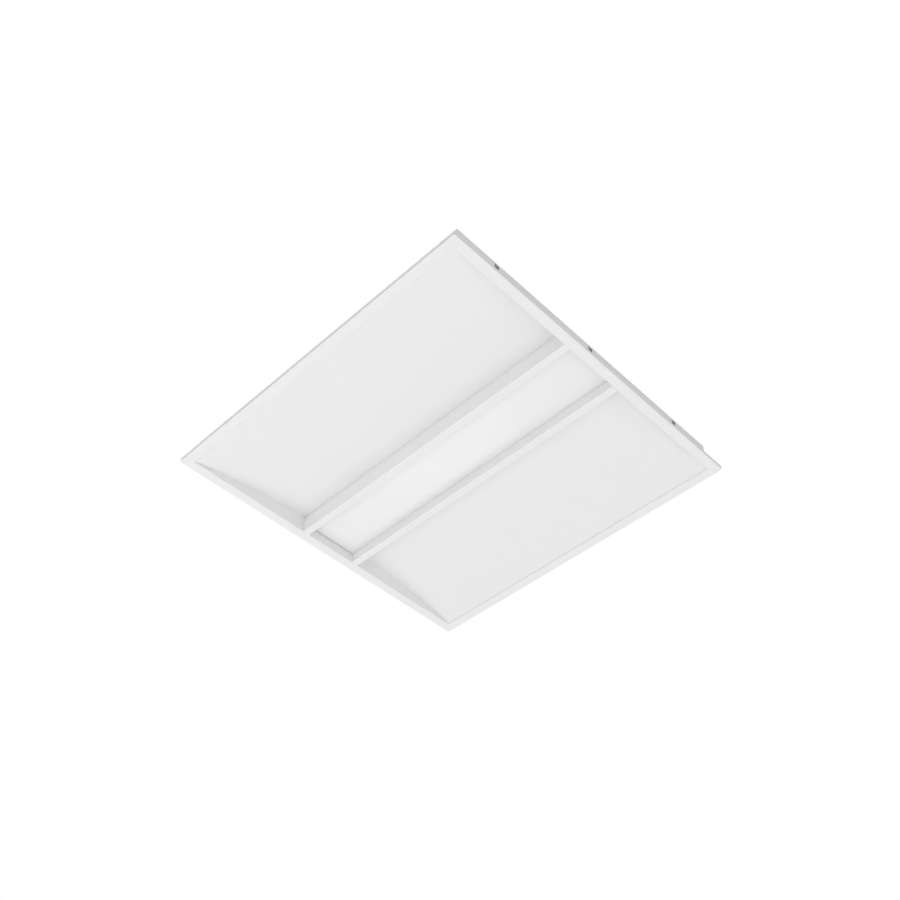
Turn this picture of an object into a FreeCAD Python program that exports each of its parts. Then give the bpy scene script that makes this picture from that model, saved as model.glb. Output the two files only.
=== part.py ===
import FreeCAD
import Part
import math
import os

from FreeCAD import Vector

# Recessed troffer light for a 600 mm ceiling grid, in millimetres, as installed.
# X runs across the two ribs, Y along them, +Z up into the ceiling void.
# The origin is the centre of the room-side face of the frame.

# Clearances and fits
RUN = 0.08                # radial clearance of a pin or axle in its hole
GAP = 0.3                 # clearance between pieces that move past each other
LOOSE = 0.2               # clearance between flat faces that slide on each other
OVER = 1.0                # reach of a cutting shape beyond the metal

# Face frame
face_size = 595.0         # outside of the frame, for a 600 mm grid
face_width = 16.0         # visible width of each side
frame_sheet = 0.8
rim_height = 6.8          # upturned outer rim
rim_thickness = 1.2       # closed hem, two sheets
lip_height = 2.2          # upturned inner lip
rim_corner = 3.0          # rounding of the four outside corners
rim_edge = 1.0            # rolled lower edge of the rim
rim_flat = 0.1            # flat left on the rolled top of the rim
key_leg = 45.0            # corner key, length of each leg
key_sheet = 1.2
key_height = 4.6
key_hole = 8.0            # holes from the ends of the legs

# Housing
pan_inset = 2.5           # pan's side inside the frame's opening
pan_height = 49.0
pan_sheet = 0.8
pan_bend = 1.6
end_sheet = 1.0
end_foot = 10.0           # foot of the end plate on the frame
end_foot_gap = 11.1       # from the foot's end to the corner key
end_return = 12.0         # folded edge under the pan
end_return_gap = 8.2      # from the folded edge's end to the pan's side
slot_size = 9.0           # square hanger slots in the end plates
slot_pitch = 200.0
slot_level = 41.4
bead_radius = 3.0         # pressed stiffening beads in the pan
bead_end_gap = 73.3       # from the bead's end to the pan's end
bead_place = 150.0
pan_screw_count = 4       # screws at each end
pan_screw_margin = 21.0   # from the folded edge's end to the last screw
hanger_hole = 6.0         # wire hanger holes in the pan
hanger_x = 440.0
hanger_y = 300.0

# Reflector wings
wing_sheet = 0.6
wing_inner = 60.0         # where the curve ends beside the rib
wing_top = 33.5           # level of the inner margin
wing_rise = 3.9           # bulge of the curve above its chord
wing_margin = 9.5         # flat inner margin above the rib
wing_rivet_count = 4      # rivets of each wing
wing_rivet_margin = 35.5  # from the carrier's end to the last rivet
wing_outer_margin = 1.5   # margin beyond the frame's inner edge
rivet_tail = 0.6          # rivet's end above the sheets

# Ribs
rib_inside = 47.5         # from the middle to the rib's near face
rib_width = 12.0
rib_height = 28.5
rib_sheet = 0.8
rib_tab = 1.2
rib_tab_gap = 1.0         # from the tab's top to the rib's edge
rib_screw_level = 14.0

# Lens door
lens_level = 19.0         # underside of the lens
lens_thickness = 2.0
lens_trim = 2.4           # radius of the hinge bead
pin_radius = 1.2
pin_length = 12.0
rail_sheet = 0.8
rail_top_width = 9.2
rail_under_width = 2.6
tongue_width = 12.0
tongue_top = 32.0
tongue_place = 6.2        # tongue from the rail's outside
catch_margin = 101.2      # from the lens's end to the tongue's middle
catch_width = 18.0
catch_leaf = 5.0
catch_sheet = 0.8
catch_swing = 1.2         # room for the tongue's swing as the door opens
catch_room = 1.0          # room at each end of the tongue

# Light engine
carrier_half = 45.0
carrier_sheet = 1.0
carrier_lip = 9.0
carrier_gap = 2.3         # from the carrier's end to the end plate's folded edge
board_width = 18.0
board_thickness = 1.0
board_gap = 4.0           # from the board's end to the carrier's end
board_place = 22.0
board_screw_count = 5
board_screw_edge = 0.4    # from the screw's head to the board's edge
led_size = 3.0
led_height = 0.7
led_count = 35
led_margin = 9.0          # from the board's end to the last package's middle
connector_length = 10.0
connector_width = 6.0
connector_height = 4.0
connector_step = 20.0     # from the grommet to the connectors' mouths

# Gear box on the pan
box_width = 86.0
box_length = 300.0
box_height = 30.0
box_sheet = 0.8
cover_lip = 6.0
box_corner = 2.0
knuckle_radius = 2.5
knuckle_length = 12.0
hinge_pin_radius = 1.0
hinge_margin = 50.0       # from the box's end to the hinge's middle
cover_screw_margin = 60.0
box_screw_side = 6.0      # from the box's side to the screw
box_screw_end = 10.0      # from the box's end to the screw
box_screw_tail = 2.0      # thread below the carrier
grommet_bore = 8.0
grommet_hole = 12.0
grommet_flange = 16.0
grommet_lip = 1.5
grommet_step = 20.0       # from the box's front end to the grommet
gland_thread = 16.0
gland_bore = 9.0
gland_hex = 20.0
gland_level = 12.8        # above the pan
gland_outside = 5.0       # hexagon against the wall
gland_inside = 8.0        # thread inside the box
gland_nut = 4.0
gland_dome = 12.0
gland_shoulder = 0.4      # step from the flats to the crown
gland_taper = 3.0         # from the flats to the crown's end
gland_seal_wall = 1.2
gland_rim = 1.0           # dome's edge beyond the seal
knockout_place = 20.0     # two blanks in the box's front wall
knockout_depth = 0.4
knockout_groove = 1.0

# Driver
driver_length = 160.0
driver_width = 42.0
driver_height = 23.0
driver_wall = 1.2
driver_base_height = 1.5
driver_step = 25.0        # from the grommet to the driver's front end
driver_ear = 9.0
driver_edge = 1.0         # rounding of the case's top
driver_post = 2.5         # radius of the posts under the board
driver_post_end = 12.0
driver_post_side = 5.0
pcb_thickness = 1.6
pcb_level = 5.0
pcb_margin = 0.5
part_room = 1.7           # from the tallest part to the case
driver_pole = 5.0
socket_side = 1.0
socket_length = 10.0
socket_height = 8.0
# Parts on the board: X, share of the driver's length, width, length, drop below the tallest
BLOCKS = ((-7.0, 0.75625, 8.0, 18.0, 2.5), (7.5, 0.71875, 9.0, 14.0, 1.5), (11.8, 0.39375, 1.6, 26.0, 2.5))
# X, share of the driver's length, radius, drop below the tallest
CANS = ((-8.0, 0.5875, 5.0, 0.5), (9.0, 0.175, 4.0, 1.5), (9.0, 0.2375, 4.0, 1.5), (-8.0, 0.2125, 5.5, 4.5))
# The tallest: share of the driver's length, width, length, lower flange, upper flange, step
TRANSFORMER = (0.45, 18.0, 20.0, 4.0, 2.5, 2.0)

# Terminal block
pole_pitch = 6.6
block_length = 20.0
block_height = 12.0
block_step = 41.0         # from the driver's rear end to the block's middle
block_side = 1.2
block_entry = 4.0         # level of the leads above the block's underside
holder_height = 2.2
holder_wall = 1.4
holder_ear = 12.0
holder_ear_height = 5.0
holder_screw_edge = 0.6   # from the screw's head to the holder's end
lever_length = 14.0
lever_thickness = 2.0
lever_hub = 2.2
lever_width = 5.0
lever_axle = 1.0
lever_axle_length = 6.2
lever_edge = 0.6          # rounding of the lever's tip
lever_y = 5.0             # pivot from the block's middle
holder_length = 36.0
lead_radius = 1.0
lead_grip = 1.5           # length of a lead inside its terminal
cell_wall = 1.5
cell_floor = 1.6
cell_top = 6.2
wire_entry = 3.2
contact_width = 4.0
contact_sheet = 0.8
leaf_width = 3.2
leaf_foot = (-2.0, 1.0)   # leaf's foot and tip along Y, from the block's middle
leaf_tip = (4.0, 4.6)
leaf_gap = 0.3            # from the leaf's tip to the cell's ceiling
earth_x = 28.0
earth_step = 24.0         # from the block's middle to the stud
earth_height = 10.0
earth_ring_radius = 4.0
earth_sheet = 0.8
earth_wall = 0.6
earth_lift = 1.2          # lead above the box's floor at the ring
earth_barrel = 5.0
earth_nut_across = 7.0
earth_nut_height = 3.2

# Bends of the leads
lead_crest = 3.0          # crest above the ends of a supply lead
lead_straight = 5.0       # straight run at a terminal
lead_drop = 2.0           # output lead below its connector
earth_bend = (4.0, 2.0)   # bend of the earth lead, from the pole and from the stud

# Grid clips
clip_length = 46.0
clip_width = 14.0
clip_sheet = 1.2
clip_inset = 9.0
clip_end_gap = 53.3       # from the pivot to the pan's end

# Screws and rivets: shank radius, head radius, head height
SMALL = (1.5, 2.8, 1.6)
LARGE = (2.0, 3.8, 2.2)
screw_reach = 4.0         # shank of the pan's screws
rib_screw_reach = 6.0
cover_screw_reach = 5.0

# Worked out from the above
face_half = face_size / 2
opening_half = face_half - face_width
lip_outer = opening_half + frame_sheet
end_outer = lip_outer + end_sheet
key_outer = face_half - rim_thickness - LOOSE
key_end = key_outer - key_leg
pan_half = opening_half - pan_inset
pan_inner = pan_half - pan_sheet
pan_under = pan_height - pan_sheet
end_foot_half = key_end - end_foot_gap
end_return_half = pan_inner - end_return_gap
end_return_inner = lip_outer - end_return
pan_screw_y = lip_outer - end_return / 2
wing_outer = opening_half + wing_outer_margin
rib_outside = rib_inside + rib_width
rib_middle = rib_inside + rib_width / 2
carrier_under = pan_under - carrier_sheet
carrier_reach = end_return_inner - carrier_gap
board_under = carrier_under - board_thickness
board_reach = carrier_reach - board_gap
led_pitch = 2 * (board_reach - led_margin) / (led_count - 1)
lens_top = lens_level + lens_thickness
hinge_x = -(rib_inside - LOOSE - lens_trim)
hinge_z = lens_level + lens_thickness / 2
rail_outside = rib_inside - GAP
lens_right = rail_outside - rail_sheet
lens_left = hinge_x - lens_trim / 4
lens_half_length = opening_half - GAP
catch_place = lens_half_length - catch_margin
box_half = box_width / 2
box_end = box_length / 2
box_floor = pan_height + box_sheet
box_top = pan_height + box_height
hinge_place = box_end - hinge_margin
cover_screw_place = box_end - cover_screw_margin
grommet_y = grommet_step - box_end
connector_y = grommet_y + connector_step
driver_front = grommet_y + driver_step
driver_rear = driver_front + driver_length
block_y = driver_rear + block_step
earth_y = block_y - earth_step
cover_x = -(box_half + knuckle_radius + GAP)
cover_under = box_top + LOOSE
cover_top = cover_under + box_sheet
cover_z = cover_top - knuckle_radius
cover_outside = box_half + GAP + box_sheet
block_bottom = box_floor + holder_height
block_top = block_bottom + block_height
block_width = 3 * pole_pitch + block_side
clip_x = pan_half - clip_inset
clip_place = end_outer - clip_end_gap
clip_under = pan_height + LOOSE
block_lead_level = block_bottom + block_entry
axle_level = block_top - lever_hub - LOOSE
pcb_top = box_floor + pcb_level + pcb_thickness
driver_lead_level = pcb_top + socket_height / 2
socket_half = driver_pole + socket_side
part_height = driver_height - driver_wall - pcb_level - pcb_thickness - part_room
tongue_right = rail_outside - tongue_place
tongue_left = tongue_right - rail_sheet
gland_z = pan_height + gland_level
earth_level = box_floor + lead_radius + earth_lift
earth_tail = earth_x - earth_ring_radius - lead_radius


def box(x0, x1, y0, y1, z0, z1):
    """Block between two corners."""
    return Part.makeBox(x1 - x0, y1 - y0, z1 - z0, Vector(x0, y0, z0))


def rod(radius, start, end):
    """Round bar from one point to another."""
    axis = Vector(*end) - Vector(*start)
    return Part.makeCylinder(radius, axis.Length, Vector(*start), axis)


def upright(radius, x, y, z0, z1):
    """Cutting bar for an upright hole through metal that lies from z0 to z1."""
    return rod(radius, (x, y, z0 - OVER), (x, y, z1 + OVER))


def join(first, *others):
    """One solid from pieces that touch or overlap."""
    return first.multiFuse(list(others)).removeSplitter()


def group(shapes):
    """Separate solids kept in one node."""
    return Part.makeCompound(shapes)


def spread(count, reach):
    """Even places from -reach to reach."""
    return [reach * (2 * i / (count - 1) - 1) for i in range(count)]


def mirror_x(shape):
    return shape.mirror(Vector(0, 0, 0), Vector(1, 0, 0))


def mirror_y(shape):
    return shape.mirror(Vector(0, 0, 0), Vector(0, 1, 0))


def corner_arc(before, here, after, radius):
    """Start, middle and end of the arc that rounds one corner of an outline."""
    point = Vector(here[0], here[1], 0)
    back = (Vector(before[0], before[1], 0) - point).normalize()
    ahead = (Vector(after[0], after[1], 0) - point).normalize()
    half = back.getAngle(ahead) / 2
    inward = (back + ahead).normalize()
    reach = radius / math.tan(half)
    middle = point + inward * (radius / math.sin(half) - radius)
    return point + back * reach, middle, point + ahead * reach


def outline(corners, place):
    """Closed face through corners (u, v) or (u, v, radius), laid in space by place(u, v)."""
    count = len(corners)
    arcs = []
    for i, here in enumerate(corners):
        if len(here) == 3:
            arcs.append(corner_arc(corners[i - 1], here, corners[(i + 1) % count], here[2]))
        else:
            arcs.append((Vector(here[0], here[1], 0), None, Vector(here[0], here[1], 0)))
    edges = []
    for i, (start, middle, end) in enumerate(arcs):
        if middle is not None:
            points = [place(p.x, p.y) for p in (start, middle, end)]
            edges.append(Part.Arc(*points).toShape())
        following = arcs[(i + 1) % count][0]
        if end.distanceToPoint(following) > 1e-6:
            edges.append(Part.makeLine(place(end.x, end.y), place(following.x, following.y)))
    return Part.Face(Part.Wire(edges))


def along_y(corners, y0, y1):
    """Section in X and Z carried from y0 to y1."""
    return outline(corners, lambda u, v: Vector(u, y0, v)).extrude(Vector(0, y1 - y0, 0))


def along_x(corners, x0, x1):
    """Section in Y and Z carried from x0 to x1."""
    return outline(corners, lambda u, v: Vector(x0, u, v)).extrude(Vector(x1 - x0, 0, 0))


def along_z(corners, z0, z1):
    """Outline in X and Y raised from z0 to z1."""
    return outline(corners, lambda u, v: Vector(u, v, z0)).extrude(Vector(0, 0, z1 - z0))


def screw(kind, seat, direction, length):
    """Pan-head screw or rivet: head on the seat, shank along direction."""
    shank, head, height = kind
    at = Vector(*seat)
    axis = Vector(*direction).normalize()
    body = Part.makeCylinder(shank, length, at, axis)
    cap = Part.makeCylinder(head, height, at - axis * height, axis)
    crown = [e for e in cap.Edges if e.isClosed() and e.CenterOfMass.distanceToPoint(at) > height / 2]
    return join(cap.makeFillet(height / 2.5, crown), body)


def tube(points, radius):
    """Round lead along straight runs joined by tangent arcs."""
    nodes = [Vector(*p) for p in points]
    edges = []
    last = nodes[0]
    for before, here, after in zip(nodes, nodes[1:], nodes[2:]):
        back = before - here
        ahead = after - here
        reach = 0.45 * min(back.Length, ahead.Length)
        half = back.getAngle(ahead) / 2
        bend = reach * math.tan(half)
        start = here + Vector(back).normalize() * reach
        end = here + Vector(ahead).normalize() * reach
        inward = (Vector(back).normalize() + Vector(ahead).normalize()).normalize()
        middle = here + inward * (bend / math.sin(half) - bend)
        edges.append(Part.makeLine(last, start))
        edges.append(Part.Arc(start, middle, end).toShape())
        last = end
    edges.append(Part.makeLine(last, nodes[-1]))
    path = Part.Wire(edges)
    ring = Part.Wire([Part.makeCircle(radius, nodes[0], nodes[1] - nodes[0])])
    return path.makePipeShell([ring], True, False)


# ---------------------------------------------------------------- face frame

def frame_side(turn):
    """One mitred side of the frame, turned about Z from the +X side."""
    rolled = (rim_thickness - rim_flat) / 2
    section = [
        (opening_half, 0),
        (face_half, 0, rim_edge),
        (face_half, rim_height, rolled),
        (face_half - rim_thickness, rim_height, rolled),
        (face_half - rim_thickness, frame_sheet),
        (lip_outer, frame_sheet),
        (lip_outer, lip_height),
        (opening_half, lip_height),
    ]
    side = along_y(section, -face_half, face_half)
    far = face_half + OVER
    near = opening_half - OVER
    wedge = along_z([(near, -near), (far, -far), (far, far), (near, near)], -OVER, rim_height + OVER)
    square = [(s * face_half, t * face_half, rim_corner) for s, t in ((-1, -1), (1, -1), (1, 1), (-1, 1))]
    side = side.common(wedge).common(along_z(square, -OVER, rim_height + OVER))
    side.rotate(Vector(0, 0, 0), Vector(0, 0, 1), turn)
    return side


def corner_keys():
    """Angle pieces that lie in the frame's channel and tie the four mitres."""
    inner = end_outer + GAP
    outer = key_outer
    bevel = key_outer - rim_corner
    flat = [(key_end, inner), (inner, inner), (inner, key_end), (outer, key_end),
            (outer, bevel), (bevel, outer), (key_end, outer)]
    plate = along_z(flat, frame_sheet, frame_sheet + key_sheet)
    upright_x = box(outer - key_sheet, outer, key_end, bevel, frame_sheet, frame_sheet + key_height)
    upright_y = box(key_end, bevel, outer - key_sheet, outer, frame_sheet, frame_sheet + key_height)
    key = join(plate, upright_x, upright_y)
    middle = (inner + outer) / 2
    for x, y in ((key_end + key_hole, middle), (middle, key_end + key_hole)):
        key = key.cut(rod(SMALL[0], (x, y, 0), (x, y, key_height)))
    return group([key, mirror_x(key), mirror_y(key), mirror_y(mirror_x(key))])


# ------------------------------------------------------------------- housing

def end_plate():
    """Front end plate: upright, foot on the frame, return under the pan, three slots."""
    section = [
        (-end_outer - end_foot, frame_sheet),
        (-lip_outer, frame_sheet),
        (-lip_outer, pan_under - end_sheet),
        (-end_return_inner, pan_under - end_sheet),
        (-end_return_inner, pan_under),
        (-end_outer, pan_under),
        (-end_outer, frame_sheet + end_sheet),
        (-end_outer - end_foot, frame_sheet + end_sheet),
    ]
    folded = along_x(section, -end_foot_half, end_foot_half)
    face = [(-pan_inner, frame_sheet), (pan_inner, frame_sheet),
            (pan_inner, pan_under, pan_bend), (-pan_inner, pan_under, pan_bend)]
    upright = along_y(face, -end_outer, -lip_outer)
    returned = box(-end_return_half, end_return_half, -end_outer, -end_return_inner,
                   pan_under - end_sheet, pan_under)
    plate = join(folded, upright, returned)
    half = slot_size / 2
    for i in (-1, 0, 1):
        middle = i * slot_pitch
        plate = plate.cut(box(middle - half, middle + half, -end_outer - OVER, -lip_outer + OVER,
                              slot_level - half, slot_level + half))
    plate = plate.cut(rod(pin_radius + RUN, (hinge_x, -end_outer - OVER, hinge_z),
                          (hinge_x, -lip_outer + OVER, hinge_z)))
    for x in (-rib_middle, rib_middle):
        plate = plate.cut(rod(LARGE[0], (x, -end_outer - OVER, rib_screw_level),
                              (x, -lip_outer + OVER, rib_screw_level)))
    for x in pan_screw_places():
        plate = plate.cut(rod(SMALL[0], (x, -pan_screw_y, pan_under - end_sheet - OVER),
                              (x, -pan_screw_y, pan_under + OVER)))
    return plate


def pan_screw_places():
    """Places along X of the screws that hold the pan to each end plate."""
    return spread(pan_screw_count, end_return_half - pan_screw_margin)


def pan_screws():
    places = [(x, s * pan_screw_y, pan_height) for x in pan_screw_places() for s in (-1, 1)]
    return group([screw(SMALL, p, (0, 0, -1), screw_reach) for p in places])


def back_pan():
    """Folded sheet over the whole back, with feet on the wing margins."""
    section = [
        (-wing_outer, wing_floor()),
        (-pan_inner, wing_floor()),
        (-pan_inner, pan_under, pan_bend - pan_sheet),
        (pan_inner, pan_under, pan_bend - pan_sheet),
        (pan_inner, wing_floor()),
        (wing_outer, wing_floor()),
        (wing_outer, wing_floor() + pan_sheet),
        (pan_half, wing_floor() + pan_sheet),
        (pan_half, pan_height, pan_bend),
        (-pan_half, pan_height, pan_bend),
        (-pan_half, wing_floor() + pan_sheet),
        (-wing_outer, wing_floor() + pan_sheet),
    ]
    pan = along_y(section, -end_outer, end_outer)
    reach = end_outer - bead_end_gap
    for x in (-bead_place, bead_place):
        outer = rod(bead_radius, (x, -reach, pan_under), (x, reach, pan_under))
        inner = rod(bead_radius - pan_sheet, (x, -reach + pan_sheet, pan_under),
                    (x, reach - pan_sheet, pan_under))
        above = box(x - bead_radius, x + bead_radius, -reach, reach, pan_under, pan_height + bead_radius)
        pan = pan.fuse(outer.common(above)).cut(inner)
    holes = []
    for x, y in hanger_places():
        holes.append(upright(hanger_hole / 2, x, y, pan_under, pan_height))
    for x, y in clip_places():
        holes.append(upright(LARGE[0], x, y, pan_under, pan_height))
    for x in pan_screw_places():
        for y in (-pan_screw_y, pan_screw_y):
            holes.append(upright(SMALL[0], x, y, pan_under, pan_height))
    for x, y in box_screw_places():
        holes.append(upright(LARGE[0], x, y, pan_under, pan_height))
    holes.append(upright(grommet_hole / 2, 0, grommet_y, pan_under, pan_height))
    return pan.cut(group(holes)).removeSplitter()


def hanger_places():
    return [(s * hanger_x / 2, t * hanger_y / 2) for s in (-1, 1) for t in (-1, 1)]


def wing_floor():
    """Upper side of the wing's outer margin, where the pan stands."""
    return lip_height + wing_sheet


def wing_curve(lift):
    """Three points of the wing's curve, raised by lift."""
    start = (pan_inner, lip_height + lift)
    end = (wing_inner, wing_top + lift)
    middle = ((start[0] + end[0]) / 2, (start[1] + end[1]) / 2 + wing_rise)
    return [Vector(x, -lip_outer, z) for x, z in (start, middle, end)]


def wing():
    """Right reflector: outer margin on the frame's lip, long curve, flat margin by the rib."""
    low = wing_curve(0)
    high = wing_curve(wing_sheet)
    y = -lip_outer
    inner = wing_inner - wing_margin
    path = [
        Part.makeLine(Vector(wing_outer, y, lip_height), low[0]),
        Part.Arc(*low).toShape(),
        Part.makeLine(low[2], Vector(inner, y, wing_top)),
        Part.makeLine(Vector(inner, y, wing_top), Vector(inner, y, wing_top + wing_sheet)),
        Part.makeLine(Vector(inner, y, wing_top + wing_sheet), high[2]),
        Part.Arc(high[2], high[1], high[0]).toShape(),
        Part.makeLine(high[0], Vector(wing_outer, y, lip_height + wing_sheet)),
        Part.makeLine(Vector(wing_outer, y, lip_height + wing_sheet), Vector(wing_outer, y, lip_height)),
    ]
    sheet = Part.Face(Part.Wire(path)).extrude(Vector(0, 2 * lip_outer, 0))
    for x, y in wing_rivet_places():
        sheet = sheet.cut(upright(SMALL[0], x, y, wing_top, wing_top + wing_sheet))
    return sheet


def wing_rivet_places():
    """Rivets that tie the right wing's inner margin to the carrier."""
    x = wing_inner - wing_margin / 2
    return [(x, y) for y in spread(wing_rivet_count, carrier_reach - wing_rivet_margin)]


def wing_rivets():
    length = wing_sheet + carrier_sheet + rivet_tail
    right = [screw(SMALL, (x, y, wing_top), (0, 0, 1), length) for x, y in wing_rivet_places()]
    return group(right + [mirror_x(r) for r in right])


def rib():
    """Right rib: channel open above, closed at both ends by a tapped tab."""
    section = [
        (rib_inside, 0, rib_sheet),
        (rib_outside, 0, rib_sheet),
        (rib_outside, rib_height),
        (rib_outside - rib_sheet, rib_height),
        (rib_outside - rib_sheet, rib_sheet),
        (rib_inside + rib_sheet, rib_sheet),
        (rib_inside + rib_sheet, rib_height),
        (rib_inside, rib_height),
    ]
    channel = along_y(section, -lip_outer, lip_outer)
    for s in (-1, 1):
        near, far = sorted((s * opening_half, s * (lip_outer + OVER)))
        channel = channel.cut(box(rib_inside - OVER, rib_outside + OVER, near, far, -OVER, lip_height))
        near, far = sorted((s * (lip_outer - rib_tab), s * lip_outer))
        tab = box(rib_inside + rib_sheet, rib_outside - rib_sheet, near, far,
                  lip_height, rib_height - rib_tab_gap)
        hole = rod(LARGE[0], (rib_middle, near - OVER, rib_screw_level),
                   (rib_middle, far + OVER, rib_screw_level))
        channel = channel.fuse(tab).cut(hole)
    return channel.removeSplitter()


def rib_screws():
    front = [screw(LARGE, (x, -end_outer, rib_screw_level), (0, 1, 0), rib_screw_reach)
             for x in (-rib_middle, rib_middle)]
    return group(front + [mirror_y(s) for s in front])


# -------------------------------------------------------------- light engine

def led_carrier():
    """Hat-shaped channel under the pan that carries the boards and the wings' inner edges."""
    lip_under = wing_top + wing_sheet
    lip_start = wing_inner - wing_margin
    lip_end = lip_start + carrier_lip
    right = [
        (carrier_half, pan_under),
        (lip_start + carrier_sheet, lip_under + carrier_sheet),
        (lip_end, lip_under + carrier_sheet),
        (lip_end, lip_under),
        (lip_start, lip_under),
        (carrier_half - carrier_sheet, carrier_under),
    ]
    left = [(-x, z) for x, z in reversed(right)]
    hat = along_y(right + left, -carrier_reach, carrier_reach)
    holes = [upright(grommet_hole / 2, 0, grommet_y, carrier_under, pan_under)]
    for x, y in box_screw_places():
        holes.append(upright(LARGE[0], x, y, carrier_under, pan_under))
    for x, y in wing_rivet_places():
        for s in (-1, 1):
            holes.append(upright(SMALL[0], s * x, y, lip_under, lip_under + carrier_sheet))
    for x, y in board_screw_places():
        holes.append(upright(SMALL[0], x, y, carrier_under, pan_under))
    return hat.cut(group(holes))


def led_board():
    """Right-hand aluminium-core board."""
    board = box(board_place - board_width / 2, board_place + board_width / 2,
                -board_reach, board_reach, board_under, carrier_under)
    for x, y in board_screw_places():
        if x > 0:
            board = board.cut(upright(SMALL[0], x, y, board_under, carrier_under))
    return board


def led_places():
    return spread(led_count, board_reach - led_margin)


def leds():
    """Surface-mounted LED packages, one row on each board."""
    half = led_size / 2
    row = []
    for y in led_places():
        for x in (-board_place, board_place):
            row.append(box(x - half, x + half, y - half, y + half, board_under - led_height, board_under))
    return group(row)


def board_screw_places():
    """Screws beside the LED row, midway between two packages."""
    edge = board_width / 2 - SMALL[1] - board_screw_edge
    places = []
    for i in range(board_screw_count):
        package = int((led_count - 2) * i / (board_screw_count - 1) + 0.5)
        places.append(led_places()[package] + led_pitch / 2)
    return [(s * (board_place + edge), y) for s in (-1, 1) for y in places]


def board_screws():
    length = board_thickness + carrier_sheet
    return group([screw(SMALL, (x, y, board_under), (0, 0, 1), length) for x, y in board_screw_places()])


def board_connectors():
    """Two-way wire connectors on the boards' inner edges."""
    x, y, z = board_lead_end()
    half = connector_width / 2
    body = box(x - half, x + half, y, y + connector_length, board_under - connector_height, board_under)
    body = body.cut(rod(lead_radius, (x, y - OVER, z), (x, y + lead_grip, z)))
    return group([body, mirror_x(body)])


def board_lead_end():
    """Mouth of the right board's connector, between the LED row and the board's edge."""
    x = board_place - led_size / 2 - GAP - connector_width / 2
    return x, connector_y, board_under - connector_height / 2


# ----------------------------------------------------------------- lens door

def lens():
    """Opal panel, notched at the two hinge pins."""
    panel = box(lens_left, lens_right, -lens_half_length, lens_half_length, lens_level, lens_top)
    for s in (-1, 1):
        near, far = sorted((s * (lens_half_length - pin_length), s * (lens_half_length + OVER)))
        panel = panel.cut(box(lens_left - OVER, hinge_x + lens_trim, near, far,
                              lens_level - OVER, lens_top + OVER))
    return panel


def lens_hinge_bead():
    """Round bead along the lens's hinge side, slotted for the lens and bored for the pins."""
    reach = lens_half_length
    bead = rod(lens_trim, (hinge_x, -reach, hinge_z), (hinge_x, reach, hinge_z))
    slot = reach - pin_length
    bead = bead.cut(box(lens_left, hinge_x + lens_trim + OVER, -slot, slot, lens_level, lens_top))
    for s in (-1, 1):
        bead = bead.cut(rod(pin_radius, (hinge_x, s * slot, hinge_z), (hinge_x, s * (reach + OVER), hinge_z)))
    return bead


def lens_hinge_pins():
    """Pins pressed into the bead's ends that turn in the end plates."""
    inner = lens_half_length - pin_length
    outer = end_outer + pin_radius / 2
    return group([rod(pin_radius, (hinge_x, s * inner, hinge_z), (hinge_x, s * outer, hinge_z))
                  for s in (-1, 1)])


def lens_rail():
    """Edge rail on the lens's free side, with two upright tongues for the catches."""
    under = rail_outside - rail_under_width
    back = rail_outside - rail_top_width
    section = [
        (under, lens_level - rail_sheet),
        (rail_outside, lens_level - rail_sheet, rail_sheet / 2),
        (rail_outside, lens_top + rail_sheet, rail_sheet / 2),
        (back, lens_top + rail_sheet),
        (back, lens_top),
        (lens_right, lens_top),
        (lens_right, lens_level),
        (under, lens_level),
    ]
    rail = along_y(section, -lens_half_length, lens_half_length)
    for s in (-1, 1):
        middle = s * catch_place
        rail = rail.fuse(box(tongue_left, tongue_right, middle - tongue_width / 2, middle + tongue_width / 2,
                             lens_top, tongue_top))
    return rail.removeSplitter()


def lens_catches():
    """Spring clips hooked on the right rib, with two leaves round each tongue."""
    leaf_left = tongue_left - GAP
    leaf_right = tongue_right + catch_swing
    hook_left = rib_inside + rib_sheet
    hook_right = hook_left + catch_sheet
    top = rib_height + catch_sheet
    low = rib_height - catch_leaf
    half = catch_width / 2
    slot = tongue_width / 2 + catch_room
    plate = box(leaf_left - catch_leaf, hook_right, -half, half, rib_height, top)
    plate = plate.cut(box(leaf_left, leaf_right, -slot, slot, rib_height - OVER, top + OVER))
    left = box(leaf_left - catch_sheet, leaf_left, -slot, slot, low, top)
    right = box(leaf_right, leaf_right + catch_sheet, -slot, slot, low, top)
    hook = box(hook_left, hook_right, -half, half, low, top)
    clip = join(plate, left, right, hook)
    front = clip.translated(Vector(0, -catch_place, 0))
    rear = clip.translated(Vector(0, catch_place, 0))
    return group([front, rear])


# ------------------------------------------------------------------ gear box

def rounded_block(half_x, half_y, corner, z0, z1):
    corners = [(s * half_x, t * half_y, corner) for s, t in ((-1, -1), (1, -1), (1, 1), (-1, 1))]
    return along_z(corners, z0, z1)


def box_screw_places():
    x = box_half - box_screw_side
    y = box_end - box_screw_end
    return [(s * x, t * y) for s in (-1, 1) for t in (-1, 1)]


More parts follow.
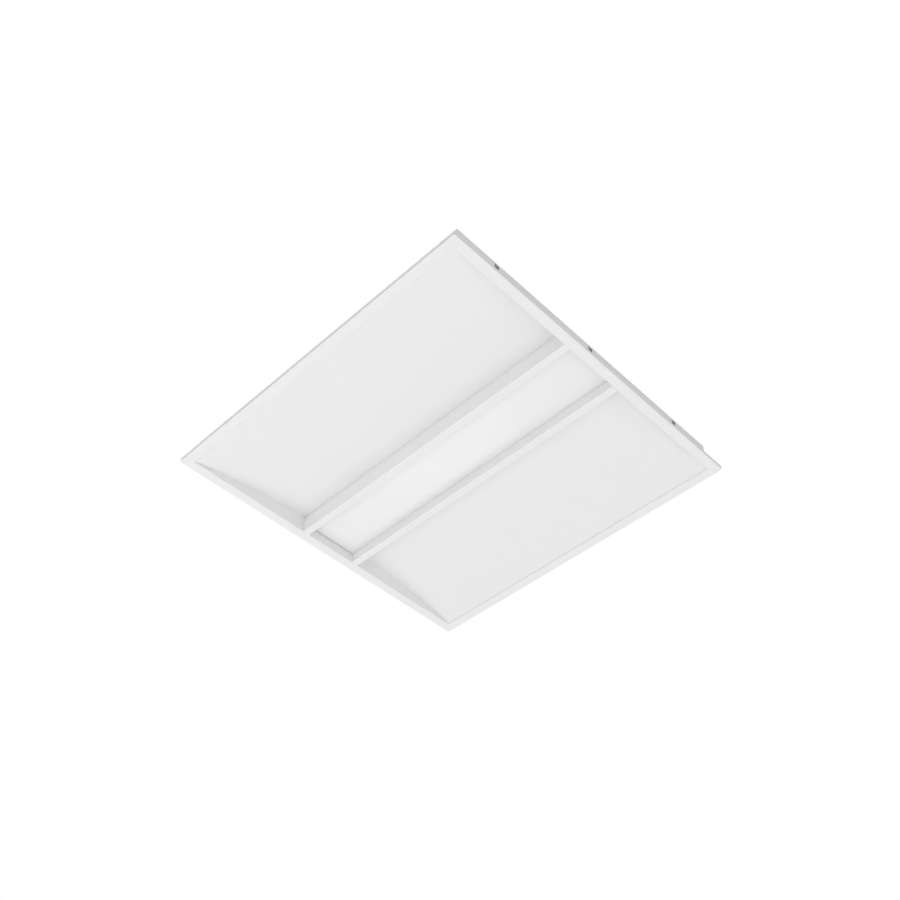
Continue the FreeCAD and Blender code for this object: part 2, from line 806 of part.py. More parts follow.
def gear_box():
    """Open tray on the pan, with hinge knuckles on its left side."""
    outer = rounded_block(box_half, box_end, box_corner, pan_height, box_top)
    inner = rounded_block(box_half - box_sheet, box_end - box_sheet, box_corner - box_sheet,
                          box_floor, box_top + OVER)
    tray = outer.cut(inner)
    for place in (-hinge_place, hinge_place):
        for s in (-1, 1):
            near = place + s * (knuckle_length / 2 + GAP)
            far = near + s * knuckle_length
            low, high = sorted((near, far))
            knuckle = rod(knuckle_radius, (cover_x, low, cover_z), (cover_x, high, cover_z))
            web = box(cover_x, -box_half, low, high, cover_z - knuckle_radius,
                      cover_z - knuckle_radius + box_sheet)
            tray = tray.fuse(knuckle).fuse(web)
        tray = tray.cut(cover_hinge_pin(place))
    tray = tray.cut(gland_rod(gland_thread / 2, box_end - box_sheet - OVER, box_end + OVER))
    for x in (-knockout_place, knockout_place):
        ends = ((x, -box_end - OVER, gland_z), (x, -box_end + knockout_depth, gland_z))
        ring = rod(gland_thread / 2, *ends)
        core = rod(gland_thread / 2 - knockout_groove, *ends)
        tray = tray.cut(ring.cut(core))
    tray = tray.cut(upright(grommet_hole / 2, 0, grommet_y, pan_height, box_floor))
    for x, y in box_screw_places():
        tray = tray.cut(upright(LARGE[0], x, y, pan_height, box_floor))
    for y in (-cover_screw_place, cover_screw_place):
        tray = tray.cut(rod(LARGE[0], (box_half - box_sheet - OVER, y, cover_screw_level()),
                            (box_half + OVER, y, cover_screw_level())))
    for x, y in gear_screw_places() + [(earth_x, earth_y)]:
        tray = tray.cut(upright(SMALL[0], x, y, pan_height, box_floor))
    return tray.removeSplitter()


def cover_screw_level():
    return cover_top - cover_lip + LARGE[0] + GAP


def cover_hinge_pin(place):
    reach = 1.5 * knuckle_length + GAP
    return rod(hinge_pin_radius, (cover_x, place - reach, cover_z), (cover_x, place + reach, cover_z))


def cover_hinge_pins():
    return group([cover_hinge_pin(place) for place in (-hinge_place, hinge_place)])


def gear_cover():
    """Lid with lips on three sides and a knuckle between each pair on the box."""
    end = box_end + GAP + box_sheet
    low = cover_top - cover_lip
    plate = box(-box_half - GAP, cover_outside, -end, end, cover_under, cover_top)
    right = box(cover_outside - box_sheet, cover_outside, -end, end, low, cover_top)
    start = -box_half + box_corner
    front = box(start, cover_outside, -end, -end + box_sheet, low, cover_top)
    rear = box(start, cover_outside, end - box_sheet, end, low, cover_top)
    cover = join(plate, right, front, rear)
    for place in (-hinge_place, hinge_place):
        ends = (place - knuckle_length / 2, place + knuckle_length / 2)
        knuckle = rod(knuckle_radius, (cover_x, ends[0], cover_z), (cover_x, ends[1], cover_z))
        tab = box(cover_x, -box_half, ends[0], ends[1], cover_under, cover_top)
        bore = rod(hinge_pin_radius + RUN, (cover_x, ends[0] - OVER, cover_z),
                   (cover_x, ends[1] + OVER, cover_z))
        cover = cover.fuse(knuckle).fuse(tab).cut(bore)
    width = LARGE[0] + GAP
    level = cover_screw_level()
    near = cover_outside - box_sheet - GAP
    for y in (-cover_screw_place, cover_screw_place):
        mouth = box(near, cover_outside + OVER, y - width, y + width, low - OVER, level)
        seat = rod(width, (near, y, level), (cover_outside + OVER, y, level))
        cover = cover.cut(mouth.fuse(seat))
    return cover.removeSplitter()


def cover_screws():
    """Screws in the box's right wall that clamp the lid's slotted lip."""
    seat = cover_outside + LOOSE
    return group([screw(LARGE, (seat, y, cover_screw_level()), (-1, 0, 0), cover_screw_reach)
                  for y in (-cover_screw_place, cover_screw_place)])


def box_screws():
    length = box_sheet + pan_sheet + carrier_sheet + box_screw_tail
    return group([screw(LARGE, (x, y, box_floor), (0, 0, -1), length) for x, y in box_screw_places()])


def grommet():
    """Rubber grommet through the box, the pan and the carrier."""
    low = carrier_under - grommet_lip
    high = box_floor + grommet_lip
    waist = rod(grommet_hole / 2, (0, grommet_y, low), (0, grommet_y, high))
    top = rod(grommet_flange / 2, (0, grommet_y, box_floor), (0, grommet_y, high))
    under = rod(grommet_flange / 2, (0, grommet_y, low), (0, grommet_y, carrier_under))
    return join(waist, top, under).cut(upright(grommet_bore / 2, 0, grommet_y, low, high))


def hexagon_corners(across):
    radius = across / math.sqrt(3)
    turns = [math.radians(60 * i) for i in range(6)]
    return [(radius * math.cos(t), radius * math.sin(t)) for t in turns]


def hexagon(across, y0, y1):
    """Six-sided bar on the gland's axis, flats up and down."""
    return along_y([(u, gland_z + v) for u, v in hexagon_corners(across)], y0, y1)


def gland_rod(radius, y0, y1):
    return rod(radius, (0, y0, gland_z), (0, y1, gland_z))


def cable_gland():
    """Body of the cable gland: hexagon outside the wall, thread through it."""
    inside = box_end - box_sheet - gland_inside
    body = hexagon(gland_hex, box_end, box_end + gland_outside)
    thread = gland_rod(gland_thread / 2, inside, box_end + gland_outside + gland_dome / 2)
    bore = gland_rod(gland_bore / 2, inside - OVER, box_end + gland_outside + gland_dome)
    return join(body, thread).cut(bore)


def gland_lock_nut():
    wall = box_end - box_sheet
    nut = hexagon(gland_hex, wall - gland_nut, wall)
    return nut.cut(gland_rod(gland_thread / 2, wall - gland_nut - OVER, wall + OVER))


def gland_dome_nut():
    """Domed nut that closes the gland on a cable."""
    start = box_end + gland_outside
    end = start + gland_dome
    flats = hexagon(gland_hex, start, start + gland_dome / 2)
    crown = Part.makeCone(gland_hex / 2 - gland_shoulder, gland_hex / 2 - gland_taper, gland_dome / 2,
                          Vector(0, start + gland_dome / 2, gland_z), Vector(0, 1, 0))
    nut = join(flats, crown).cut(gland_rod(gland_thread / 2, start - OVER, start + gland_dome / 2))
    return nut.cut(gland_rod(gland_bore / 2 + gland_seal_wall, start, end + OVER))


def gland_seal():
    """Rubber ring between the gland's thread and its dome."""
    start = box_end + gland_outside + gland_dome / 2
    ring = gland_rod(gland_bore / 2 + gland_seal_wall, start, start + gland_dome / 2 - gland_rim)
    return ring.cut(gland_rod(gland_bore / 2, start - OVER, start + gland_dome))


# -------------------------------------------------------------------- driver

def gear_screw_places():
    """Screws of the driver's ears and of the terminal holder."""
    driver = [(0, driver_front - driver_ear / 2), (0, driver_rear + driver_ear / 2)]
    reach = holder_length / 2 - SMALL[1] - holder_screw_edge
    return driver + [(0, block_y - reach), (0, block_y + reach)]


def gear_screws():
    seats = [box_floor + driver_base_height] * 2 + [box_floor + holder_height] * 2
    return group([screw(SMALL, (x, y, seat), (0, 0, -1), seat - pan_height)
                  for (x, y), seat in zip(gear_screw_places(), seats)])


def driver_base():
    """Floor of the driver, with an ear at each end and four posts for the board."""
    half = driver_width / 2
    plate = box(-half, half, driver_front, driver_rear, box_floor, box_floor + driver_base_height)
    ears = box(-driver_ear / 2, driver_ear / 2, driver_front - driver_ear, driver_rear + driver_ear,
               box_floor, box_floor + driver_base_height)
    base = join(plate, ears)
    for s in (-1, 1):
        x = s * (half - driver_wall - driver_post_side)
        for y in (driver_front + driver_post_end, driver_rear - driver_post_end):
            base = base.fuse(rod(driver_post, (x, y, box_floor), (x, y, box_floor + pcb_level)))
    for x, y in gear_screw_places()[:2]:
        base = base.cut(upright(SMALL[0], x, y, box_floor, box_floor + driver_base_height))
    return base.removeSplitter()


def driver_case():
    """Cover of the driver, open below, with a window for the terminals at each end."""
    half = driver_width / 2
    low = box_floor + driver_base_height
    high = box_floor + driver_height
    wall = driver_wall
    shell = box(-half, half, driver_front, driver_rear, low, high)
    crown = [e for e in shell.Edges if abs(e.CenterOfMass.z - high) < 1e-6]
    shell = shell.makeFillet(driver_edge, crown)
    shell = shell.cut(box(-half + wall, half - wall, driver_front + wall, driver_rear - wall,
                          low - OVER, high - wall))
    reach = socket_half + GAP
    window = box(-reach, reach, driver_front - OVER, driver_rear + OVER,
                 low - OVER, pcb_top + socket_height + GAP)
    return shell.cut(window)


def driver_board():
    inset = driver_wall + pcb_margin
    half = driver_width / 2 - inset
    return box(-half, half, driver_front + inset, driver_rear - inset, pcb_top - pcb_thickness, pcb_top)


def on_board(x, y, width, length, low, high):
    """Block on the driver's board, between two heights above it."""
    return box(x - width / 2, x + width / 2, y - length / 2, y + length / 2, pcb_top + low, pcb_top + high)


def driver_components():
    """Transformer, capacitors and chokes on the driver's board."""
    share, width, length, lower, upper, step = TRANSFORMER
    y = driver_front + share * driver_length
    top = part_height
    parts = [join(on_board(0, y, width, length, 0, lower),
                  on_board(0, y, width - 2 * step, length - 2 * step, lower, top - upper),
                  on_board(0, y, width, length, top - upper, top))]
    for x, share, radius, drop in CANS:
        y = driver_front + share * driver_length
        parts.append(rod(radius, (x, y, pcb_top), (x, y, pcb_top + top - drop)))
    for x, share, width, length, drop in BLOCKS:
        parts.append(on_board(x, driver_front + share * driver_length, width, length, 0, top - drop))
    return group(parts)


def driver_sockets():
    """Two-pole wire sockets at the board's two ends."""
    return group([driver_socket(driver_rear, 1), driver_socket(driver_front, -1)])


def driver_socket(y, direction):
    """One socket, its mouth flush with the case."""
    near, far = sorted((y, y - direction * socket_length))
    body = box(-socket_half, socket_half, near, far, pcb_top, pcb_top + socket_height)
    for s in (-1, 1):
        x = s * driver_pole / 2
        body = body.cut(rod(lead_radius, (x, y + direction, driver_lead_level),
                            (x, y - direction * lead_grip, driver_lead_level)))
    return body


# ------------------------------------------------------------ terminal block

def pole_x(i):
    return (i - 1) * pole_pitch


def terminal_holder():
    """Tray that clips the terminal block down, screwed to the box."""
    half = block_width / 2
    outside = half + GAP + holder_wall
    reach = holder_length / 2
    holder = box(-outside, outside, block_y - reach, block_y + reach, box_floor, block_bottom)
    for s in (-1, 1):
        near, far = sorted((s * (half + GAP), s * outside))
        holder = holder.fuse(box(near, far, block_y - holder_ear / 2, block_y + holder_ear / 2,
                                 box_floor, block_bottom + holder_ear_height))
    for x, y in gear_screw_places()[2:]:
        holder = holder.cut(upright(SMALL[0], x, y, box_floor, block_bottom))
    return holder.removeSplitter()


def terminal_block():
    """Three-pole block: a slot for each lever, a cell for each contact, wire holes at both ends."""
    half = block_width / 2
    end = block_length / 2
    block = box(-half, half, block_y - end, block_y + end, block_bottom, block_top)
    pivot = block_y + lever_y
    for i in range(3):
        x = pole_x(i)
        side = lever_width / 2 + LOOSE
        slot = box(x - side, x + side, block_y - end - OVER, pivot + lever_hub + GAP,
                   axle_level - lever_hub - LOOSE, block_top + OVER)
        axle = lever_axle_length / 2 + LOOSE / 2
        axle_hole = rod(lever_axle + RUN, (x - axle, pivot, axle_level), (x + axle, pivot, axle_level))
        cell = box(x - side, x + side, block_y - end + cell_wall, block_y + end - cell_wall,
                   block_bottom + cell_floor, block_bottom + cell_top)
        middle = (x, block_y, block_lead_level)
        entry = rod(wire_entry / 2, middle, (x, block_y + end + OVER, block_lead_level))
        lead = rod(lead_radius, middle, (x, block_y - end - OVER, block_lead_level))
        for hollow in (slot, axle_hole, cell, entry, lead):
            block = block.cut(hollow)
    return block.removeSplitter()


def terminal_contacts():
    """Copper bar and spring leaf in each cell."""
    reach = block_length / 2 - cell_wall
    low = block_bottom + cell_floor
    high = block_bottom + cell_top - leaf_gap
    side = [(block_y + leaf_foot[0], low), (block_y + leaf_foot[1], low),
            (block_y + leaf_tip[1], high), (block_y + leaf_tip[0], high)]
    contacts = []
    for i in range(3):
        x = pole_x(i)
        bar = box(x - contact_width / 2, x + contact_width / 2, block_y - reach, block_y + reach,
                  low, low + contact_sheet)
        contacts.append(join(bar, along_x(side, x - leaf_width / 2, x + leaf_width / 2)))
    return group(contacts)


def terminal_lever(i):
    """Lever with its hub and two stub axles; it lies closed towards -Y."""
    x = pole_x(i)
    pivot = block_y + lever_y
    half = lever_width / 2
    hub = rod(lever_hub, (x - half, pivot, axle_level), (x + half, pivot, axle_level))
    axle = rod(lever_axle, (x - lever_axle_length / 2, pivot, axle_level),
               (x + lever_axle_length / 2, pivot, axle_level))
    top = axle_level + lever_hub
    handle = box(x - half, x + half, pivot - lever_length, pivot, top - lever_thickness, top)
    tip = [e for e in handle.Edges if abs(e.CenterOfMass.y - pivot + lever_length) < 1e-6
           and abs(e.CenterOfMass.x - x) < 1e-6]
    return join(hub, axle, handle.makeFillet(lever_edge, tip))


# --------------------------------------------------------------------- leads

def supply_lead(i):
    """Lead from the block's pole i to the driver's input socket."""
    side = 1 if i else -1
    start = block_y - block_length / 2
    x = pole_x(i)
    end_x = side * driver_pole / 2
    crest = (block_lead_level + driver_lead_level) / 2 + lead_crest
    step = (start - driver_rear) / 4
    return tube([(x, start + lead_grip, block_lead_level), (x, start - step, block_lead_level),
                 ((x + end_x) / 2, start - 2 * step, crest), (end_x, driver_rear + step, driver_lead_level),
                 (end_x, driver_rear - lead_grip, driver_lead_level)], lead_radius)


def earth_lead():
    """Lead from the third pole to the ring on the earth stud."""
    start = block_y - block_length / 2
    x = pole_x(2)
    across, along = earth_bend
    return tube([(x, start + lead_grip, block_lead_level), (x, start - lead_straight, block_lead_level),
                 (x + across, earth_y + along, earth_level + along),
                 (earth_tail - earth_barrel - lead_crest, earth_y, earth_level),
                 (earth_tail, earth_y, earth_level)], lead_radius)


def earth_ring():
    """Ring terminal: flat eye on the stud and barrel round the lead's end."""
    start = earth_tail - earth_barrel
    half = lead_radius + earth_wall
    top = box_floor + earth_sheet
    eye = rod(earth_ring_radius, (earth_x, earth_y, box_floor), (earth_x, earth_y, top))
    neck = box(start, earth_x - LARGE[0], earth_y - half, earth_y + half, box_floor, top)
    barrel = box(start, earth_tail, earth_y - half, earth_y + half, box_floor, earth_level + half)
    mouth = rod(lead_radius, (start - OVER, earth_y, earth_level), (earth_tail + OVER, earth_y, earth_level))
    return join(eye, neck, barrel).cut(mouth).cut(upright(LARGE[0], earth_x, earth_y, box_floor, top))


def earth_stud():
    """Stud riveted into the box, and the nut that clamps the ring on it."""
    post = rod(LARGE[0], (earth_x, earth_y, box_floor), (earth_x, earth_y, box_floor + earth_height))
    root = rod(SMALL[0], (earth_x, earth_y, pan_height), (earth_x, earth_y, box_floor))
    corners = [(earth_x + u, earth_y + v) for u, v in hexagon_corners(earth_nut_across)]
    low = box_floor + earth_sheet
    high = low + earth_nut_height
    nut = along_z(corners, low, high).cut(upright(LARGE[0], earth_x, earth_y, low, high))
    return group([join(post, root), nut])


def output_lead(side):
    """Lead from the driver's output down through the grommet to one board."""
    x, y, z = board_lead_end()
    low = z - lead_drop
    start = side * driver_pole / 2
    drop = side * (lead_radius + GAP)
    return tube([(start, driver_front + lead_grip, driver_lead_level),
                 (start, driver_front - 2 * lead_straight, driver_lead_level),
                 (drop, grommet_y, driver_lead_level - lead_crest), (drop, grommet_y, low),
                 (side * (x - lead_radius), grommet_y + lead_crest, low),
                 (side * x, y - lead_straight - lead_radius, z), (side * x, y + lead_grip, z)],
                lead_radius)


# ---------------------------------------------------------------- grid clips

def clip_places():
    return [(s * clip_x, t * clip_place) for s in (-1, 1) for t in (-1, 1)]


def grid_clip(x, y):
    """Swing-out tab lying along the pan's edge, turned towards the middle of the side."""
    half = clip_width / 2
    inward = -1 if y > 0 else 1
    reach = clip_length - clip_width
    near, far = sorted((y, y + inward * reach))
    bar = box(x - half, x + half, near, far, clip_under, clip_under + clip_sheet)
    eye = rod(half, (x, y, clip_under), (x, y, clip_under + clip_sheet))
    tip = rod(half, (x, y + inward * reach, clip_under), (x, y + inward * reach, clip_under + clip_sheet))
    hole = upright(LARGE[0] + RUN, x, y, clip_under, clip_under + clip_sheet)
    wire = upright(LARGE[0], x, y + inward * reach, clip_under, clip_under + clip_sheet)
    return join(bar, eye, tip).cut(hole).cut(wire)


def clip_rivets():
    """Rivets on which the four clips turn."""
    top = clip_under + clip_sheet + LOOSE
    tail = pan_under - SMALL[2]
    rivets = []
    for x, y in clip_places():
        closed = rod(LARGE[1] - rivet_tail, (x, y, tail), (x, y, pan_under))
        rivets.append(join(screw(LARGE, (x, y, top), (0, 0, -1), top - tail), closed))
    return group(rivets)


def save(name, shape):
    shape.exportStep("parts/" + name + ".step")


def main():
    os.makedirs("parts", exist_ok=True)
    for name, turn in (("right", 0), ("rear", 90), ("left", 180), ("front", 270)):
        save("frame_" + name, frame_side(turn))
    save("corner_keys", corner_keys())
    save("end_plate_front", end_plate())
    save("end_plate_rear", mirror_y(end_plate()))
    save("back_pan", back_pan())
    save("pan_screws", pan_screws())
    save("wing_right", wing())
    save("wing_left", mirror_x(wing()))
    save("wing_rivets", wing_rivets())
    save("rib_right", rib())
    save("rib_left", mirror_x(rib()))
    save("rib_screws", rib_screws())
    save("led_carrier", led_carrier())
    save("led_board_right", led_board())
    save("led_board_left", mirror_x(led_board()))
    save("leds", leds())
    save("board_screws", board_screws())
    save("board_connectors", board_connectors())
    save("lens", lens())
    save("lens_hinge_bead", lens_hinge_bead())
    save("lens_hinge_pins", lens_hinge_pins())
    save("lens_rail", lens_rail())
    save("lens_catches", lens_catches())
    save("gear_box", gear_box())
    save("gear_cover", gear_cover())
    save("cover_hinge_pins", cover_hinge_pins())
    save("cover_screws", cover_screws())
    save("box_screws", box_screws())
    save("grommet", grommet())
    save("cable_gland", cable_gland())
    save("gland_lock_nut", gland_lock_nut())
    save("gland_dome_nut", gland_dome_nut())
    save("gland_seal", gland_seal())
    save("driver_base", driver_base())
    save("driver_case", driver_case())
    save("driver_board", driver_board())
    save("driver_components", driver_components())
    save("driver_sockets", driver_sockets())
    save("gear_screws", gear_screws())
    save("terminal_holder", terminal_holder())
    save("terminal_block", terminal_block())
    save("terminal_contacts", terminal_contacts())
    for i in range(3):
        save("terminal_lever_" + str(i + 1), terminal_lever(i))
    save("lead_live", supply_lead(0))
    save("lead_neutral", supply_lead(1))
    save("lead_earth", earth_lead())
    save("earth_ring", earth_ring())
    save("earth_stud", earth_stud())
    save("lead_led_left", output_lead(-1))
    save("lead_led_right", output_lead(1))
    for x, y in clip_places():
        corner = ("rear" if y > 0 else "front") + ("_right" if x > 0 else "_left")
        save("grid_clip_" + corner, grid_clip(x, y))
    save("clip_rivets", clip_rivets())


main()
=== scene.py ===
import math

import bmesh
import bpy
import numpy as np
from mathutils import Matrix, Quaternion, Vector


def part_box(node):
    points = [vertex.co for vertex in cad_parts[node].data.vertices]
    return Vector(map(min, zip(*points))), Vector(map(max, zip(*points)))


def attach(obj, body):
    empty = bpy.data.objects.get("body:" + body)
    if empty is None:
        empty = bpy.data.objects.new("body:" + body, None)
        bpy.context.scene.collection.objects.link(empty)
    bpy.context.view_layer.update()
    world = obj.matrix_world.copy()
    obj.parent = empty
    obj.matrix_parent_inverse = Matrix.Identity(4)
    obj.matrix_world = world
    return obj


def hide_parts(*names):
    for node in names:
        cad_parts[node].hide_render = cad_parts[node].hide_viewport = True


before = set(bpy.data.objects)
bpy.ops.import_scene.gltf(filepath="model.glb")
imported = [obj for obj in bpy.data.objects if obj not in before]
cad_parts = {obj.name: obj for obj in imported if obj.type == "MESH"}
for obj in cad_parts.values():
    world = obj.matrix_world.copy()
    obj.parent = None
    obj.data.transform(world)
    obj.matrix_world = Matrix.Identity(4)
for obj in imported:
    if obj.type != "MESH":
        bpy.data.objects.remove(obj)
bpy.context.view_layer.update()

# Recessed troffer light, in the frame of its CAD model: X across the two ribs, Y along them,
# +Z up into the ceiling void, the room-side face at z = 0. Lengths here are in millimetres
# until a piece is made.
MM = 0.001
UP, DOWN, LEFT, FRONT, REAR = (0, 0, 1), (0, 0, -1), (-1, 0, 0), (0, -1, 0), (0, 1, 0)


def span(node):
    """Lowest and highest corner of a CAD node, in millimetres."""
    low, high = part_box(node)
    return np.array(low) / MM, np.array(high) / MM


# ------------------------------------------------------------------- materials

PATTERN_LOW, PATTERN_HIGH = 0.3, 0.7    # a noise pattern mostly stays between these
WHITE = (1, 1, 1, 1)


def linear(channel):
    """One sRGB channel, 0 to 1, as linear light."""
    return channel / 12.92 if channel <= 0.04045 else ((channel + 0.055) / 1.055) ** 2.4


def paint(code):
    """sRGB hex colour as linear RGBA."""
    return tuple(linear(int(code[i:i + 2], 16) / 255) for i in (1, 3, 5)) + (1.0,)


def add(tree, kind, inputs=None, **settings):
    """Adds one node, sets its properties, and fills or links its inputs."""
    made = tree.nodes.new(kind)
    for name, value in settings.items():
        setattr(made, name, value)
    for name, value in (inputs or {}).items():
        if isinstance(value, bpy.types.NodeSocket):
            tree.links.new(value, made.inputs[name])
        else:
            made.inputs[name].default_value = value
    return made


def begin(name, metallic=0.0, **plain):
    """New material: itself, its tree, its shader and the Object coordinates in metres."""
    material = bpy.data.materials.new(name)
    material.use_nodes = True
    tree = material.node_tree
    shader = tree.nodes["Principled BSDF"]
    shader.inputs["Metallic"].default_value = metallic
    for label, value in plain.items():
        shader.inputs[label.replace("_", " ")].default_value = value
    return material, tree, shader, add(tree, "ShaderNodeTexCoord").outputs["Object"]


def complete(made, drift, tones, gloss, relief, depth, edge=0.3):
    """Lets colour and roughness follow one pattern, and presses a relief into the surface.

    drift is the pattern; tones are its two colours and gloss its two roughnesses. The relief
    is depth millimetres deep, and edges look worn round by edge millimetres.
    """
    material, tree, shader, _ = made
    share = add(tree, "ShaderNodeMapRange", {"Value": drift, "From Min": PATTERN_LOW,
                                             "From Max": PATTERN_HIGH}).outputs[0]
    colour = add(tree, "ShaderNodeMix", {0: share, 6: paint(tones[0]), 7: paint(tones[1])},
                 data_type="RGBA")
    rough = add(tree, "ShaderNodeMapRange", {"Value": share, "To Min": gloss[0],
                                             "To Max": gloss[1]})
    soft = add(tree, "ShaderNodeBevel", {"Radius": edge * MM}, samples=4)
    bump = add(tree, "ShaderNodeBump", {"Height": relief, "Distance": depth * MM,
                                        "Normal": soft.outputs[0]})
    tree.links.new(colour.outputs[2], shader.inputs["Base Color"])
    tree.links.new(rough.outputs[0], shader.inputs["Roughness"])
    tree.links.new(bump.outputs[0], shader.inputs["Normal"])
    return material


def powder_coat():
    """Polyester powder coat, sprayed and baked on steel: even white with a weak satin shine,
    very slightly cloudy, with the orange peel of the flowed powder, 2 mm from dimple to
    dimple."""
    made = begin("powder_coated_steel", Specular_IOR_Level=0.1)
    _, tree, _, place = made
    cloud = add(tree, "ShaderNodeTexNoise", {"Vector": place, "Scale": 1 / (80 * MM),
                                             "Detail": 2.0})
    peel = add(tree, "ShaderNodeTexNoise", {"Vector": place, "Scale": 1 / (2 * MM), "Detail": 1.0})
    return complete(made, cloud.outputs[0], ("#EFEFEF", "#F1F1F1"), (0.50, 0.60),
                    peel.outputs[0], 0.012)


def reflector_enamel():
    """Reflective enamel, baked on rolled sheet: flat white with hardly a highlight, and the
    faint long waves that rolling leaves across the curve, about 35 mm apart."""
    made = begin("enamelled_reflector_sheet", Specular_IOR_Level=0.3)
    _, tree, _, place = made
    cloud = add(tree, "ShaderNodeTexNoise", {"Vector": place, "Scale": 1 / (90 * MM),
                                             "Detail": 2.0})
    along = add(tree, "ShaderNodeMapping", {"Vector": place, "Scale": (1, 0.12, 1)})
    waves = add(tree, "ShaderNodeTexNoise", {"Vector": along.outputs[0], "Scale": 1 / (35 * MM),
                                             "Detail": 3.0})
    return complete(made, cloud.outputs[0], ("#EEEEEE", "#EFEFEF"), (0.55, 0.65),
                    waves.outputs[0], 0.05, 0.2)


def opal_acrylic():
    """Opal acrylic, extruded as a sheet: milky, with soft reflections. Light bleeds about 4 mm
    into it, and the die leaves long, very shallow waves along its length, 30 mm apart."""
    made = begin("extruded_opal_acrylic", IOR=1.49, Subsurface_Weight=0.25,
                 Subsurface_Radius=(1.0, 0.99, 0.97), Subsurface_Scale=4 * MM)
    _, tree, _, place = made
    along = add(tree, "ShaderNodeMapping", {"Vector": place, "Scale": (1, 0.1, 1)})
    haze = add(tree, "ShaderNodeTexNoise", {"Vector": along.outputs[0], "Scale": 1 / (30 * MM),
                                            "Detail": 1.0})
    return complete(made, haze.outputs[0], ("#F2F2F2", "#F3F3F3"), (0.30, 0.33),
                    haze.outputs[0], 0.01)


def worked_metal(name, tones, gloss, line, stretch):
    """Bare metal with the lines of its working, line millimetres wide and stretch times as
    long along an axis: satin, brighter and duller from line to line."""
    made = begin(name, metallic=1.0)
    _, tree, _, place = made
    along = add(tree, "ShaderNodeMapping", {"Vector": place,
                                            "Scale": tuple(1 / times for times in stretch)})
    lines = add(tree, "ShaderNodeTexNoise", {"Vector": along.outputs[0], "Scale": 1 / (line * MM),
                                             "Detail": 4.0})
    return complete(made, lines.outputs[0], tones, gloss, lines.outputs[0], 0.008)


def zinc_plate():
    """Zinc, plated bright on steel screws and pins: cool grey with cloudy passivation patches
    of 2.5 mm, over a fine pickled grain."""
    made = begin("zinc_plated_steel", metallic=1.0)
    _, tree, _, place = made
    cloud = add(tree, "ShaderNodeTexNoise", {"Vector": place, "Scale": 1 / (2.5 * MM),
                                             "Detail": 2.0})
    grain = add(tree, "ShaderNodeTexNoise", {"Vector": place, "Scale": 1 / (0.6 * MM)})
    return complete(made, cloud.outputs[0], ("#B2B8BE", "#CBCFD2"), (0.22, 0.40),
                    grain.outputs[0], 0.01)


def galvanised_strip():
    """Steel strip, hot-dip galvanised: crystals about 6 mm across, each its own grey and gloss,
    with edges that can just be felt."""
    made = begin("hot_dip_galvanised_strip", metallic=1.0)
    _, tree, _, place = made
    crystals = add(tree, "ShaderNodeTexVoronoi", {"Vector": place, "Scale": 1 / (6 * MM)})
    grey = add(tree, "ShaderNodeSeparateColor", {"Color": crystals.outputs["Color"]})
    return complete(made, grey.outputs[0], ("#A3A8AB", "#C2C6C8"), (0.30, 0.52),
                    crystals.outputs["Distance"], 0.02)


def moulded(name, tones, gloss, ior, grain, depth, edge=0.3, **plain):
    """Injection-moulded plastic: even colour with weak flow clouds, and the spark-eroded grain
    of its mould, grain millimetres from pit to pit. Edges are as round as the mould's."""
    made = begin(name, IOR=ior, **plain)
    _, tree, _, place = made
    flow = add(tree, "ShaderNodeTexNoise", {"Vector": place, "Scale": 1 / (9 * MM), "Detail": 2.0})
    pits = add(tree, "ShaderNodeTexNoise", {"Vector": place, "Scale": 1 / (grain * MM),
                                            "Detail": 2.0})
    return complete(made, flow.outputs[0], tones, gloss, pits.outputs[0], depth, edge)


def solder_mask():
    """White solder mask, printed on an aluminium-core board: half glossy and warm white, a
    little wavy where it flowed over the copper, 5 mm from wave to wave."""
    made = begin("printed_white_solder_mask")
    _, tree, _, place = made
    cloud = add(tree, "ShaderNodeTexNoise", {"Vector": place, "Scale": 1 / (12 * MM)})
    waves = add(tree, "ShaderNodeTexNoise", {"Vector": place, "Scale": 1 / (5 * MM)})
    return complete(made, cloud.outputs[0], ("#F0EFEA", "#F5F4F0"), (0.28, 0.36),
                    waves.outputs[0], 0.02)


def phosphor():
    """Silicone filled with phosphor, cast into each package: egg-yolk yellow, glossy skin, and
    grains of phosphor drawn 0.3 mm across so that they show."""
    made = begin("cast_phosphor_silicone", IOR=1.41)
    _, tree, _, place = made
    grains = add(tree, "ShaderNodeTexNoise", {"Vector": place, "Scale": 1 / (0.3 * MM),
                                              "Detail": 1.0})
    return complete(made, grains.outputs[0], ("#E8C14A", "#F3D25E"), (0.20, 0.28),
                    grains.outputs[0], 0.01, 0.08)


def solder():
    """Tin solder, printed and reflowed on the pads: bright, with small frozen lumps."""
    made = begin("reflowed_tin_solder", metallic=1.0)
    _, tree, _, place = made
    lumps = add(tree, "ShaderNodeTexNoise", {"Vector": place, "Scale": 1 / (0.7 * MM),
                                             "Detail": 1.0})
    return complete(made, lumps.outputs[0], ("#BFC2C4", "#D6D8D9"), (0.18, 0.35),
                    lumps.outputs[0], 0.03, 0.05)


def rubber():
    """Rubber, compression-moulded: matt and nearly black, with a grey bloom in patches."""
    made = begin("moulded_black_rubber", IOR=1.52)
    _, tree, _, place = made
    bloom = add(tree, "ShaderNodeTexNoise", {"Vector": place, "Scale": 1 / (4 * MM), "Detail": 3.0})
    grain = add(tree, "ShaderNodeTexNoise", {"Vector": place, "Scale": 1 / (0.5 * MM)})
    return complete(made, bloom.outputs[0], ("#1C1C1D", "#2B2B2C"), (0.65, 0.85),
                    grain.outputs[0], 0.02)


